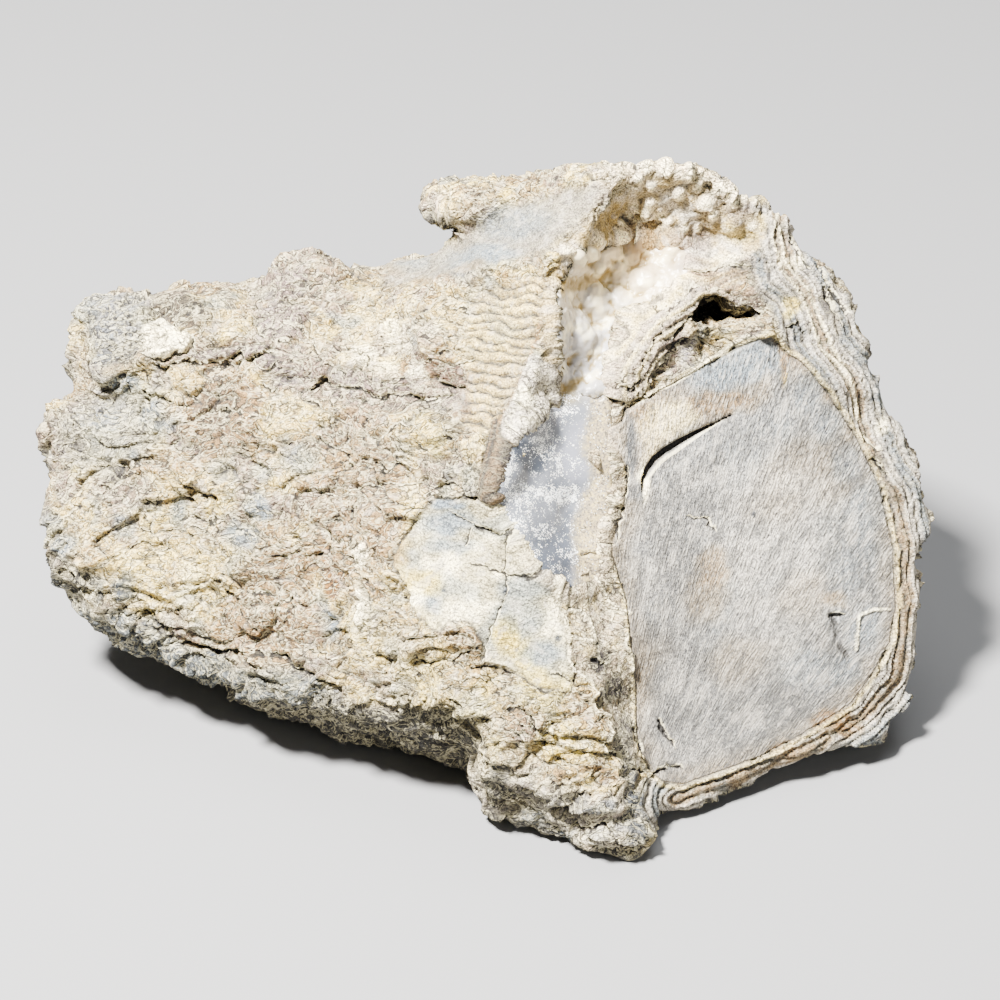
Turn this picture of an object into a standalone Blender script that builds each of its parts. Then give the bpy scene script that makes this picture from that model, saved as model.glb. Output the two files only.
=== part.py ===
"""Petrified wood: a silicified limb cemented into a pale mineral rind.

The broken end of the limb faces front right, ringed by its layered bark. The rind wraps it from the
left, arches over it with a hollow underneath, and reaches down to a chipped foot. A chalcedony crust
lines the hollow and fills the gap between rind and bark.

Metres, +Z up, +X to the right along the limb, -Y to the show side. The origin is on the ground under
the middle of the specimen. Cage points and surface features are written in millimetres.
"""
import math

import bmesh
import bpy
import numpy as np
from mathutils import Matrix, Vector, noise
from mathutils.geometry import delaunay_2d_cdt

MM = 0.001

# The show side is seen from above. Features on it are placed by (u, v) in millimetres on the plane
# that faces this way: u runs right with X, v runs up the slope.
SHOW_ELEVATION = math.radians(35)
TOWARDS_SHOW = Vector((0, -math.cos(SHOW_ELEVATION), math.sin(SHOW_ELEVATION)))

# ---- cage of the specimen, (x, y, z) in mm -------------------------------------------------------
# The rim goes clockwise round the specimen where the show side turns into the hidden side.
RIM = (
    # left end, from the undercut up to the lump at the top left
    (-64, -4, 16), (-66.5, -4, 23), (-68, 1, 30), (-69, 9, 38.5), (-66.5, 13, 42), (-64, 17, 42.5),
    (-64, 20.5, 47.5), (-62, 23.5, 53), (-57, 25.5, 56),
    # ridge along the top of the rind, with a knob, down into the saddle
    (-49.5, 26.5, 55), (-41, 27, 52.5), (-34.5, 27, 55.5), (-30.5, 26, 59.5), (-27.5, 25.5, 60.5),
    (-24, 25.5, 59), (-15, 25.5, 59), (-8.5, 24, 61.5), (-4, 23, 65), (-1, 21, 68.5),
    # arch over the hollow and down the bark on the right
    (4, 18, 74.5), (11, 16.5, 79), (18, 13, 82.5), (24.5, 15.5, 82), (31.5, 16.5, 79.5),
    (38, 16.5, 76), (44.5, 16, 71.5), (50, 14, 65), (54.5, 11, 58), (58, 7.5, 50.5),
    (62, 4, 42.5), (65, 1, 36.5), (68.5, -3, 29), (65, -5.5, 26.5), (66.5, -10, 20),
    (66, -14, 14), (64, -19.5, 7), (59, -23.5, 3.5),
    # lower edge of the broken end, just clear of the ground
    (54.5, -25, 4), (47, -28.5, 3.5), (38.5, -32.5, 2.5), (31.5, -35.5, 2), (26.5, -37.5, 2),
    (24, -38, 3), (24, -39.5, 1),
    # foot on the ground, then the foot of the undercut back to the left end
    (22.5, -47.5, 0), (16.5, -46.5, 0), (11, -43.5, 0), (5, -40, 0), (-1, -36.5, 0),
    (-1.5, -26, 0), (-8.5, -22, 0), (-21, -17.5, 0), (-32, -11.5, 0.5), (-44, -10, 5),
    (-55, -8, 8), (-60, -6, 11.5),
)
BROW = (            # lower edge of the rind, over the undercut
    (-56.5, -13, 18.5), (-46, -17.5, 14), (-30.5, -25, 15.5), (-15.5, -31.5, 17.5),
    (-6.5, -36, 19), (-2, -38, 19), (-2.5, -32, 9.5),
)
RIND_SLOPE = (
    (-62, -7, 29), (-50.5, -9.5, 27.5), (-50.5, 2.5, 42.5), (-55.5, 13, 52), (-43.5, 13, 53.5),
    (-37, 1, 43.5), (-35, -15, 31), (-23, -21, 28.5), (-23, -8, 41), (-25, 8, 53.5),
    (-9.5, -32, 29.5), (-9.5, -21, 39), (-9.5, -8.5, 50), (-11.5, 4.5, 59), (-2.5, 8, 68),
)
RIND_LIP = (        # broken edge of the rind, standing over the hollow and the limb
    (16.5, 7, 80), (8.5, 0.5, 73.5), (8, -7, 66), (5.5, -13, 58), (1.5, -16.5, 53.5), (0.5, -21, 47.5),
    (0.5, -12.5, 54.5), (2, -3.5, 64), (-3, -19, 45),
)
PLATE_AND_FOOT = (  # broken plate under the lip, and the front of the foot
    (5, -26.5, 39.5), (10.5, -30.5, 32), (16.5, -34.5, 22), (17.5, -41, 14.5),
    (-1, -40, 18), (-0.5, -39.5, 9), (7.5, -42, 17.5), (16.5, -45, 10.5), (21, -45, 7.5),
)
HOLLOW_AND_LIMB = (  # floor of the hollow, then the broken end of the limb
    (19.5, 14, 73.5), (23, 14.5, 67), (15.5, 10, 62.5), (12.5, 1.5, 57.5), (9.5, -8.5, 50),
    (11, -14.5, 41.5), (16.5, -21.5, 28.5), (21, -29, 16), (22.5, -34.5, 7.5), (32, 17, 69),
    (37.5, 12.5, 64.5), (28.5, 7, 64.5), (22.5, 0, 58.5), (22.5, -11, 44.5), (24, -21, 28.5),
    (40.5, 5, 57), (40.5, -9, 38), (54.5, -4.5, 34.5), (40.5, -21.5, 19.5), (56, -16.5, 16),
    (31.5, -30.5, 9.5),
)
HIDDEN_SIDE = (     # underside on the ground, then the back wall
    (-23, -7, 0), (-36, 11, 3), (-28, 35, 0), (2, 43, 0), (30, 39, 0), (47, 17, 0), (52, -9, 1),
    (37, -23, 0), (12, -9, 0), (2, 16, 0),
    (-53, 21, 20), (-56, 23, 36), (-38, 39, 30), (-38, 37, 42), (-13, 45, 40), (-13, 37, 48),
    (12, 48, 45), (14, 35, 60), (37, 45, 40), (32, 33, 66), (52, 29, 30), (57, 13, 34), (60, 1, 20),
)
RIM_BULGE = 4
FLAP = (            # shelf of rind that overhangs the saddle: its near face
    (-12, 26, 69), (-10, 26.5, 71), (2, 21.5, 74), (11, 18, 78),
    (-9.5, 24, 67), (-2.5, 20.5, 69), (5.5, 16, 73.5),
)
FLAP_REACH = (4, 15, -9)    # and how far the shelf runs back
LUMPS = (           # rounded lumps grown on the rind: centre and radius
    ((-54, 19, 45), 10), ((-28, 26, 56), 4), ((-49, 12, 49), 4.5), ((-36, 2, 41), 5),
)

LIMB_AXIS = Vector((0.32, -0.79, 0.53))     # out of the broken end

# ---- outlines on the show side, (u, v) in mm -----------------------------------------------------
LIMB_END = (
    (20.5, 39), (29, 43.5), (37.5, 48), (42, 49.5), (46.5, 46.5), (51.5, 41.5), (55.5, 35),
    (59, 27.5), (61.5, 17), (63, 9), (61, 1), (57, -4.5), (48, -9), (36.5, -13.5), (29, -15.5),
    (24.5, -14.5), (22, -6.5), (21, 10), (18.5, 17.5), (20.5, 28), (18.5, 34.5),
)
PLATE = (
    (-8, 26), (2, 26.5), (7, 15.5), (10.5, 11), (12, 3.5), (15, -0.5), (10.5, -3), (5, -1.5),
    (-1, 3), (-6.5, 7), (-11.5, 13), (-12.5, 20),
)
HOLLOW = (
    (22, 72.5), (17.5, 69), (11.5, 64.5), (10, 60.5), (8.5, 53), (8, 47), (10, 43), (19, 41),
    (17.5, 43.5), (21.5, 52.5), (34.5, 60), (41, 64), (40.5, 68), (33.5, 70.5), (29.5, 72.5),
)
RECESS = ((17.5, 69.5), (22.5, 72.5), (26, 71), (25.5, 67), (17.5, 65.5), (14, 64.5))
CAVITY_MOUTHS = (   # the cavity between bark and limb, and the slit that runs down from it
    ((29.8, 51.6), (31, 55.5), (35, 56.4), (42, 53.2), (38, 51.8)),
    ((26.4, 47.4), (27, 48.8), (30.4, 51.4), (31, 50.6)),
)
CAVITY_DEPTHS = (12, 4)
BARK_TONGUE = (
    (21.5, 52.5), (34, 60), (38, 62), (38, 59), (31.5, 56), (27, 48.5), (23, 41), (17, 43.5),
)
CRUST = (
    (2.5, 34.5), (0.5, 27), (7, 16), (11, 12.5), (16, 14), (18, 22), (18, 40), (18.5, 48),
    (22, 53.5), (31, 59), (29, 64), (20, 65), (13, 64), (9.5, 56), (9, 46), (9.5, 40.5), (5, 37),
)
CRACKS = (          # path, depth and half width
    (((-45, 47.5), (-40, 46.5), (-35, 48)), 1.6, 0.9),
    (((-24, 43), (-16, 41.5), (-8, 40)), 1.6, 0.9),
    (((-42, 20.5), (-36, 23), (-29.5, 26)), 1.4, 0.8),
    (((24, 28.5), (28, 34), (33, 37.5), (37, 39)), 2.2, 0.9),
    (((51.5, 9.5), (53, 5), (54.5, 0.5)), 1.4, 0.8),
    (((21.5, 52.5), (27, 56.5), (34, 60)), 1.8, 0.8),
)
# (u, v) centre, radius, and how much each round pit is hollowed out
PITS = (
    ((-57, 29), 4, 1.6), ((-23, 15), 4, 1.4), ((6, -8), 3, 1.8), ((13, -22), 3.5, 2),
    ((18.5, -27), 3.5, 1.5), ((-48, 32), 3, 1.0),
)
CRUST_BEADS = (     # (u, v) and radius of the larger chalcedony pillows
    ((12, 50), 3.6), ((14.5, 55.5), 3.4), ((16, 48.5), 3), ((12.5, 45), 2.8), ((19, 55.5), 2.8),
    ((18.5, 61), 3), ((24, 58.5), 2.6), ((15.5, 61.5), 2.4), ((27.5, 62), 2.4), ((21, 64), 2.2),
)
ARCH_BEADS = (      # (u, v) and radius of the rounded beads under the arch
    ((22.5, 68.5), 2), ((25, 71), 1.8), ((29, 69.5), 2), ((27, 67.5), 1.6), ((33, 70), 2.2),
    ((36, 68), 2), ((38.5, 69.5), 1.8), ((31.5, 71.5), 1.6), ((18.5, 66.5), 1.6), ((35, 65), 1.6),
)

# ---- sizes of surface detail, in mm ---------------------------------------------------------------
FINE_VOXEL = 1.0
SWELL = 0.5             # makes up for what the first smoothing takes off
LUMP_SCALE, LUMP_HEIGHT = 21, 1.1
KNOB_SCALE, KNOB_HEIGHT = 7.5, 1.0
BLOCK_SCALE, BLOCK_GROOVE = 9, 1.1
BARK_LAYER, BARK_RIDGE, BARK_REACH = 4.2, 1.3, 18
FURROW_SPACING, FURROW_DEPTH = 6, 0.8
PLATE_STEP = 1.8
HOLLOW_DEPTH, RECESS_DEPTH, TONGUE_RISE = 2.5, 6, 2.2
CRUST_THICKNESS = 3.2
CRUST_VOXEL = 0.6
CRUST_GAP = 0.5
BODY_TRIANGLES = 6300
PLAIN_FACTOR = 1e-5     # how strongly the plain points give up their faces first
CRUST_TRIANGLES = 1700
SEAT_TRIANGLES = 1000
GROUND_LEVEL = -0.2     # the rough underside is levelled here to rest on


# ---- scene and materials --------------------------------------------------------------------------
def clear_scene():
    for old in list(bpy.data.objects):
        bpy.data.objects.remove(old, do_unlink=True)


def add_collection(name):
    collection = bpy.data.collections.new(name)
    bpy.context.scene.collection.children.link(collection)
    return collection


def principled(name, colour, roughness):
    material = bpy.data.materials.new(name)
    material.use_nodes = True
    shader = material.node_tree.nodes["Principled BSDF"]
    shader.inputs["Base Color"].default_value = (*colour, 1)
    shader.inputs["Roughness"].default_value = roughness
    shader.inputs["Metallic"].default_value = 0
    return material


# ---- small geometry helpers -------------------------------------------------------------------------
def show_plane(point):
    """(u, v) of a point on the plane that faces the show side."""
    x, y, z = point
    return Vector((x, y * math.sin(SHOW_ELEVATION) + z * math.cos(SHOW_ELEVATION)))


def from_show_plane(place, height):
    """Point in space at (u, v), so far out from the origin towards the show side."""
    up = Vector((0, math.sin(SHOW_ELEVATION), math.cos(SHOW_ELEVATION)))
    return Vector((place[0], 0, 0)) + up * place[1] + TOWARDS_SHOW * height


def smooth_step(low, high, value):
    t = np.clip((value - low) / (high - low), 0, 1)
    return t * t * (3 - 2 * t)


def distance_to_path(points, path):
    """Shortest distance from each (u, v) point to an open path."""
    best = np.full(len(points), np.inf)
    for start, end in zip(path[:-1], path[1:]):
        start, step = np.array(start), np.subtract(end, start)
        along = np.clip((points - start) @ step / (step @ step), 0, 1)
        best = np.minimum(best, np.linalg.norm(points - start - along[:, None] * step, axis=1))
    return best


def distance_inside(points, outline):
    """Distance of each (u, v) point inside a closed outline, negative outside."""
    closed = (*outline, outline[0])
    inside = np.zeros(len(points), bool)
    u, v = points.T
    for (u0, v0), (u1, v1) in zip(closed[:-1], closed[1:]):
        if v0 != v1:
            crosses = (v0 > v) != (v1 > v)
            inside ^= crosses & (u < u0 + (v - v0) * (u1 - u0) / (v1 - v0))
    return np.where(inside, 1, -1) * distance_to_path(points, closed)


def mesh_object(name, collection, bm):
    mesh = bpy.data.meshes.new(name)
    bm.to_mesh(mesh)
    bm.free()
    piece = bpy.data.objects.new(name, mesh)
    collection.objects.link(piece)
    return piece


def apply_modifiers(piece):
    """Swap an object's mesh for its evaluated one and clear its modifiers."""
    bpy.context.view_layer.update()
    evaluated = piece.evaluated_get(bpy.context.evaluated_depsgraph_get())
    mesh = bpy.data.meshes.new_from_object(evaluated)
    old, piece.data = piece.data, mesh
    piece.modifiers.clear()
    bpy.data.meshes.remove(old)


def fuse(piece, voxel, smoothing):
    """Join what overlaps in an object into one skin of small even faces."""
    remesh = piece.modifiers.new("fuse", "REMESH")
    remesh.mode = "VOXEL"
    remesh.voxel_size = voxel * MM
    relax = piece.modifiers.new("relax", "SMOOTH")
    relax.factor = 0.5
    relax.iterations = smoothing
    apply_modifiers(piece)


def reduce_to(piece, triangles, plain=None):
    """Bring a dense skin down to about so many triangles, the plain points (0 to 1) first."""
    piece.modifiers.new("triangles", "TRIANGULATE")
    apply_modifiers(piece)
    decimate = piece.modifiers.new("reduce", "DECIMATE")
    decimate.ratio = triangles / len(piece.data.polygons)
    if plain is not None:
        group = piece.vertex_groups.new(name="plain")
        for index, weight in enumerate(plain):
            group.add((index,), float(weight), "REPLACE")
        decimate.vertex_group = group.name
        decimate.vertex_group_factor = PLAIN_FACTOR
    apply_modifiers(piece)
    piece.vertex_groups.clear()


def plainness(body):
    """1 on the hidden side and the broken end, less where the hollow and the bark need fine shape."""
    places, normals = read_points(body)
    flat = flat_places(places)
    facing = smooth_step(0, 0.3, normals @ np.array(TOWARDS_SHOW))
    out = -distance_inside(flat, LIMB_END)
    fine = smooth_step(-1, 1, out) * (1 - smooth_step(12, BARK_REACH, out)) * (flat[:, 0] > 20)
    fine = np.maximum(fine, smooth_step(-4, 0, distance_inside(flat, HOLLOW)))
    fine = np.maximum(fine, 0.8 * smooth_step(-3, 0, distance_inside(flat, PLATE)))
    return 1 - 0.9 * fine * facing


def keep_largest(piece):
    """Drop loose chips, so that the piece is one body."""
    bm = bmesh.new()
    bm.from_mesh(piece.data)
    left = set(bm.verts)
    islands = []
    while left:
        island, waiting = set(), [left.pop()]
        while waiting:
            vert = waiting.pop()
            island.add(vert)
            for edge in vert.link_edges:
                other = edge.other_vert(vert)
                if other in left:
                    left.discard(other)
                    waiting.append(other)
        islands.append(island)
    largest = max(islands, key=len)
    chips = [vert for vert in bm.verts if vert not in largest]
    bmesh.ops.delete(bm, geom=chips, context="VERTS")
    bm.to_mesh(piece.data)
    bm.free()


# ---- the solid form ------------------------------------------------------------------------------------
def sheet_faces(rim, inner):
    """Triangles over a rim and the points inside it, as seen from the show side."""
    flat = [show_plane(point) for point in (*rim, *inner)]
    result = delaunay_2d_cdt(flat, [], [list(range(len(rim)))], 1, 1e-5)
    return result[2]


def add_cage(bm):
    """Closed cage: a show sheet and a hidden sheet that share the rim."""
    show = (*BROW, *RIND_SLOPE, *RIND_LIP, *PLATE_AND_FOOT, *HOLLOW_AND_LIMB)
    rim = [bm.verts.new(Vector(point) * MM) for point in RIM]
    verts = rim + [bm.verts.new(Vector(point) * MM) for point in show]
    for face in sheet_faces(RIM, show):
        bm.faces.new([verts[index] for index in face])
    verts = rim + [bm.verts.new(Vector(point) * MM) for point in HIDDEN_SIDE]
    for face in sheet_faces(RIM, HIDDEN_SIDE):
        corners = [verts[index] for index in reversed(face)]
        if max(face) >= len(RIM):
            bm.faces.new(corners)
            continue
        # a triangle between three rim points bulges back, clear of the show sheet
        middle = sum((corner.co for corner in corners), Vector()) / 3
        tip = bm.verts.new(middle - TOWARDS_SHOW * RIM_BULGE * MM)
        for first, second in zip(corners, corners[1:] + corners[:1]):
            bm.faces.new((first, second, tip))


def add_shelf(bm, near_face, reach):
    """Convex shelf that runs back from its near face."""
    back = [Vector(point) + Vector(reach) for point in near_face]
    verts = [bm.verts.new(Vector(point) * MM) for point in (*near_face, *back)]
    bmesh.ops.convex_hull(bm, input=verts)


def add_ball(bm, centre, radius):
    place = Matrix.Translation(Vector(centre) * MM)
    bmesh.ops.create_icosphere(bm, subdivisions=3, radius=radius * MM, matrix=place)


def build_form(collection):
    """Cage, flap and lumps fused into one skin."""
    bm = bmesh.new()
    add_cage(bm)
    add_shelf(bm, FLAP, FLAP_REACH)
    for centre, radius in LUMPS:
        add_ball(bm, centre, radius)
    body = mesh_object("petrified_wood", collection, bm)
    fuse(body, FINE_VOXEL, smoothing=4)
    places, normals = read_points(body)
    write_points(body, places + normals * SWELL)
    return body


# ---- surface relief ---------------------------------------------------------------------------------------
def read_points(piece):
    count = len(piece.data.vertices)
    places, normals = np.empty(count * 3), np.empty(count * 3)
    piece.data.vertices.foreach_get("co", places)
    piece.data.vertices.foreach_get("normal", normals)
    return places.reshape(-1, 3) / MM, normals.reshape(-1, 3)


def write_points(piece, places):
    piece.data.vertices.foreach_set("co", (places * MM).ravel())
    piece.data.update()


def flat_places(places):
    v = places[:, 1] * math.sin(SHOW_ELEVATION) + places[:, 2] * math.cos(SHOW_ELEVATION)
    return np.column_stack((places[:, 0], v))


def noise_field(places, scale, octaves=3):
    return np.array([noise.fractal(Vector(p) / scale, 0.9, 2.1, octaves) for p in places])


def block_edges(places, scale):
    """1 on the borders of irregular blocks, 0 inside them."""
    gaps = []
    for p in places:
        near, second = noise.voronoi(Vector(p) / scale)[0][:2]
        gaps.append(second - near)
    return 1 - smooth_step(0, 0.22, np.array(gaps))


def roughen(places, normals):
    """Lumps and blocks of the rind; the broken end and the plate stay calm."""
    flat = flat_places(places)
    facing = smooth_step(0, 0.3, normals @ np.array(TOWARDS_SHOW))
    calm = facing * smooth_step(-2, 1, distance_inside(flat, LIMB_END))
    calm = np.maximum(calm, 0.7 * facing * smooth_step(-1, 1, distance_inside(flat, PLATE)))
    calm = np.maximum(calm, 0.8 * facing * smooth_step(-1, 1, distance_inside(flat, HOLLOW)))
    rough = 1 - 0.9 * calm
    height = LUMP_HEIGHT * noise_field(places, LUMP_SCALE)
    height += KNOB_HEIGHT * noise_field(places + 40, KNOB_SCALE)
    height -= BLOCK_GROOVE * block_edges(places, BLOCK_SCALE)
    return places + normals * (height * rough)[:, None]


def layer_bark(places, normals):
    """Ridges of the bark: rings round the limb's broken end, furrows along its hidden side."""
    flat = flat_places(places)
    facing = smooth_step(0, 0.3, normals @ np.array(TOWARDS_SHOW))
    out = -distance_inside(flat, LIMB_END)
    band = smooth_step(0, 1.5, out) * (1 - smooth_step(BARK_REACH - 4, BARK_REACH, out))
    band *= facing * smooth_step(38, 44, flat[:, 0] + 0.25 * flat[:, 1])
    wobble = noise_field(places, 14, octaves=2)
    rings = np.sin(2 * math.pi * (out / BARK_LAYER + 0.6 * wobble))

    around = places @ np.array(LIMB_AXIS.cross(Vector((1, 0, 0))).normalized())
    furrows = np.sin(2 * math.pi * (around / FURROW_SPACING + 0.5 * wobble))
    side = (1 - facing) * smooth_step(30, 42, places[:, 0]) * smooth_step(0.2, 0.6, normals[:, 0])
    height = BARK_RIDGE * band * rings + FURROW_DEPTH * side * furrows
    return places + normals * height[:, None]


def carve_hollows(places, normals):
    """Hollow under the arch, the bark tongue beside it, the plate's step, cracks and pits."""
    flat = flat_places(places)
    facing = smooth_step(-0.1, 0.2, normals @ np.array(TOWARDS_SHOW))
    depth = HOLLOW_DEPTH * smooth_step(0, 2.5, distance_inside(flat, HOLLOW))
    depth += RECESS_DEPTH * smooth_step(0, 2.5, distance_inside(flat, RECESS))
    depth -= TONGUE_RISE * smooth_step(0, 2, distance_inside(flat, BARK_TONGUE))
    depth += PLATE_STEP * smooth_step(0, 1.2, distance_inside(flat, PLATE))
    for path, crack_depth, half_width in CRACKS:
        depth += crack_depth * (1 - smooth_step(0, half_width * 1.6, distance_to_path(flat, path)))
    for centre, radius, pit_depth in PITS:
        away = np.linalg.norm(flat - np.array(centre), axis=1)
        depth += pit_depth * (1 - smooth_step(0.3 * radius, radius, away))
    return places - np.outer(depth * facing, np.array(TOWARDS_SHOW))


def sculpt(body):
    for step in (roughen, layer_bark, carve_hollows):
        places, normals = read_points(body)
        write_points(body, step(places, normals))
    fuse(body, FINE_VOXEL, smoothing=1)


# ---- chalcedony ------------------------------------------------------------------------------------
def surface_at(body, u, v):
    """Point of the show surface behind (u, v), in mm, found by looking straight at it."""
    hit, place, _, _ = body.ray_cast(from_show_plane((u, v), 200) * MM, -TOWARDS_SHOW)
    if not hit:
        raise ValueError(f"nothing behind ({u}, {v})")
    return place / MM


def add_beads(body, beads, bm, sink):
    for (u, v), radius in beads:
        centre = surface_at(body, u, v) - TOWARDS_SHOW * radius * sink
        add_ball(bm, centre, radius)


def fuse_arch_beads(body):
    """Rounded beads under the arch, grown on the stone itself."""
    bm = bmesh.new()
    bm.from_mesh(body.data)
    add_beads(body, ARCH_BEADS, bm, sink=0.1)
    bm.to_mesh(body.data)
    bm.free()
    fuse(body, FINE_VOXEL * 0.9, smoothing=1)


def build_crust(collection, body):
    """Crust that follows the hollow's floor, with chalcedony pillows grown together on it."""
    bm = bmesh.new()
    bm.from_mesh(body.data)
    bm.normal_update()
    places = np.array([face.calc_center_median() for face in bm.faces]) / MM
    inside = distance_inside(flat_places(places), CRUST) > 0
    off = [face for face, keep in zip(bm.faces, inside)
           if not keep or face.normal.dot(TOWARDS_SHOW) < 0.05]
    bmesh.ops.delete(bm, geom=off, context="FACES")
    crust = mesh_object("chalcedony_crust", collection, bm)
    thicken = crust.modifiers.new("thicken", "SOLIDIFY")
    thicken.thickness = CRUST_THICKNESS * MM
    thicken.offset = -0.4
    apply_modifiers(crust)

    bm = bmesh.new()
    bm.from_mesh(crust.data)
    add_beads(body, CRUST_BEADS, bm, sink=0.1)
    bm.to_mesh(crust.data)
    bm.free()
    fuse(crust, CRUST_VOXEL, smoothing=2)
    keep_largest(crust)
    return crust


def build_seat(cutters, crust):
    """Cutter for the crust's seat: the crust itself, swollen by the gap."""
    seat = bpy.data.objects.new("crust_seat", crust.data.copy())
    cutters.objects.link(seat)
    seat.display_type = "WIRE"
    seat.hide_render = True
    places, normals = read_points(seat)
    write_points(seat, places + normals * CRUST_GAP)
    fuse(seat, CRUST_VOXEL, smoothing=0)
    reduce_to(seat, SEAT_TRIANGLES)
    return seat


def build_cavity_cutter(cutters, body, number):
    """Tapering cutter that goes straight in behind one of the cavity's mouths."""
    mouth, depth = CAVITY_MOUTHS[number], CAVITY_DEPTHS[number]
    level = max(surface_at(body, u, v).dot(TOWARDS_SHOW) for u, v in mouth) + 3
    deep = min(surface_at(body, u, v).dot(TOWARDS_SHOW) for u, v in mouth) - depth
    middle = sum((Vector(corner) for corner in mouth), Vector((0, 0))) / len(mouth)
    bm = bmesh.new()
    for corner in mouth:
        for height, taper in ((level, 1.0), (deep, 0.6)):
            place = from_show_plane(middle.lerp(Vector(corner), taper), height)
            bm.verts.new(place * MM)
    bmesh.ops.convex_hull(bm, input=bm.verts)
    cutter = mesh_object(f"cavity_cutter_{number + 1}", cutters, bm)
    cutter.display_type = "WIRE"
    cutter.hide_render = True
    return cutter


def cut_out(body, cutter):
    cut = body.modifiers.new("cut", "BOOLEAN")
    cut.operation = "DIFFERENCE"
    cut.solver = "EXACT"
    cut.object = cutter
    apply_modifiers(body)
    keep_largest(body)


# ---- resting on the ground -------------------------------------------------------------------------
def level_underside(body):
    """Cut the underside flat where the specimen rests."""
    bm = bmesh.new()
    bm.from_mesh(body.data)
    everything = [*bm.verts, *bm.edges, *bm.faces]
    ground = Vector((0, 0, GROUND_LEVEL * MM))
    bmesh.ops.bisect_plane(bm, geom=everything, plane_co=ground, plane_no=(0, 0, -1), clear_outer=True)
    rim = [edge for edge in bm.edges if edge.is_boundary]
    bmesh.ops.holes_fill(bm, edges=rim, sides=0)
    bmesh.ops.triangulate(bm, faces=[face for face in bm.faces if len(face.verts) > 3])
    bm.to_mesh(body.data)
    bm.free()


def stand_at_origin(body, pieces):
    """Move everything so that the ground under the middle of the specimen is the origin."""
    places, _ = read_points(body)
    low, high = places.min(axis=0), places.max(axis=0)
    shift = Vector((-(low[0] + high[0]) / 2, -(low[1] + high[1]) / 2, -low[2])) * MM
    for piece in pieces:
        piece.data.transform(Matrix.Translation(shift))


def build():
    clear_scene()
    collection = add_collection("petrified_wood_specimen")
    cutters = add_collection("cutters")
    body = build_form(collection)
    sculpt(body)
    fuse_arch_beads(body)
    crust = build_crust(collection, body)
    seat = build_seat(cutters, crust)
    reduce_to(crust, CRUST_TRIANGLES)
    cavity_cutters = [build_cavity_cutter(cutters, body, number) for number in (0, 1)]
    reduce_to(body, BODY_TRIANGLES, plainness(body))
    level_underside(body)
    for cutter in (seat, *cavity_cutters):
        cut_out(body, cutter)
    body.data.materials.clear()
    body.data.materials.append(principled("pale_rind", (0.66, 0.57, 0.45), 0.85))
    crust.data.materials.clear()
    crust.data.materials.append(principled("milky_chalcedony", (0.72, 0.72, 0.72), 0.3))
    stand_at_origin(body, (body, crust, *cutters.objects))


build()
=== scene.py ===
"""Petrified wood specimen in full detail: a crackled cream rind, a broken limb with its grey
silicified end face, layered bark, and a hollow lined with milky chalcedony.

Feature outlines and paths lie in the show plane: u runs to the right and v upward, in
millimetres, on a plane square to the direction TOWARDS_SHOW.
"""

import math

import bpy
import numpy as np
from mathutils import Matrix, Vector
from mathutils.bvhtree import BVHTree


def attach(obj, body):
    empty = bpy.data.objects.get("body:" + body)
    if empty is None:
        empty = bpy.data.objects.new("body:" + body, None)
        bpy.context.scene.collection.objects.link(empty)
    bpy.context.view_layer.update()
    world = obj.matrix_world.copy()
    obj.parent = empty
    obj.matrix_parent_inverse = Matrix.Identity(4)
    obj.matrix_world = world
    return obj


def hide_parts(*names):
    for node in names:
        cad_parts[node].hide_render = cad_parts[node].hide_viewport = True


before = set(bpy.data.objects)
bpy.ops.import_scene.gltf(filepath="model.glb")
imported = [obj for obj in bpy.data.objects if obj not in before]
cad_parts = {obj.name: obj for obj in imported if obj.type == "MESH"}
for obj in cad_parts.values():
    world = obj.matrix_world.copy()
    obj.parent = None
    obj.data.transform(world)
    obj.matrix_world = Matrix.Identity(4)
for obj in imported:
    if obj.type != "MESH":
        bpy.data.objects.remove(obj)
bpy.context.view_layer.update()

MM = 0.001
SHOW_ELEVATION = math.radians(35)
TOWARDS_SHOW = np.array((0, -math.cos(SHOW_ELEVATION), math.sin(SHOW_ELEVATION)))

# ---- camera ----
CAMERA_TARGET = (2.0, -4.0, 34.4)
CAMERA_DISTANCE = 500
LENS = 120
SENSOR = 36

# ---- studio: (name, place in mm, size in mm, power in W, colour) ----
LIGHTS = (
    ("key", (-220, -180, 620), 100, 60.0, (1.0, 0.985, 0.965)),
    ("top", (60, 160, 620), 420, 5.0, (0.96, 0.98, 1.0)),
    ("fill", (420, -420, 260), 420, 1.5, (0.97, 0.98, 1.0)),
)
LIGHTS_AIM = (0, 0, 35)
FLOOR_HALF_SIZE = 3  # in m
FLOOR_COLOUR = (0.17, 0.17, 0.17)
SURROUND_STRENGTH = 0.17

# ---- mesh fineness ----
STONE_VOXEL = 0.38
CRUST_VOXEL = 0.3
PIECE_TRIANGLES = 190000
FACET_SMOOTHING = 26  # rounds of evening out that take the solid's facets away

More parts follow.
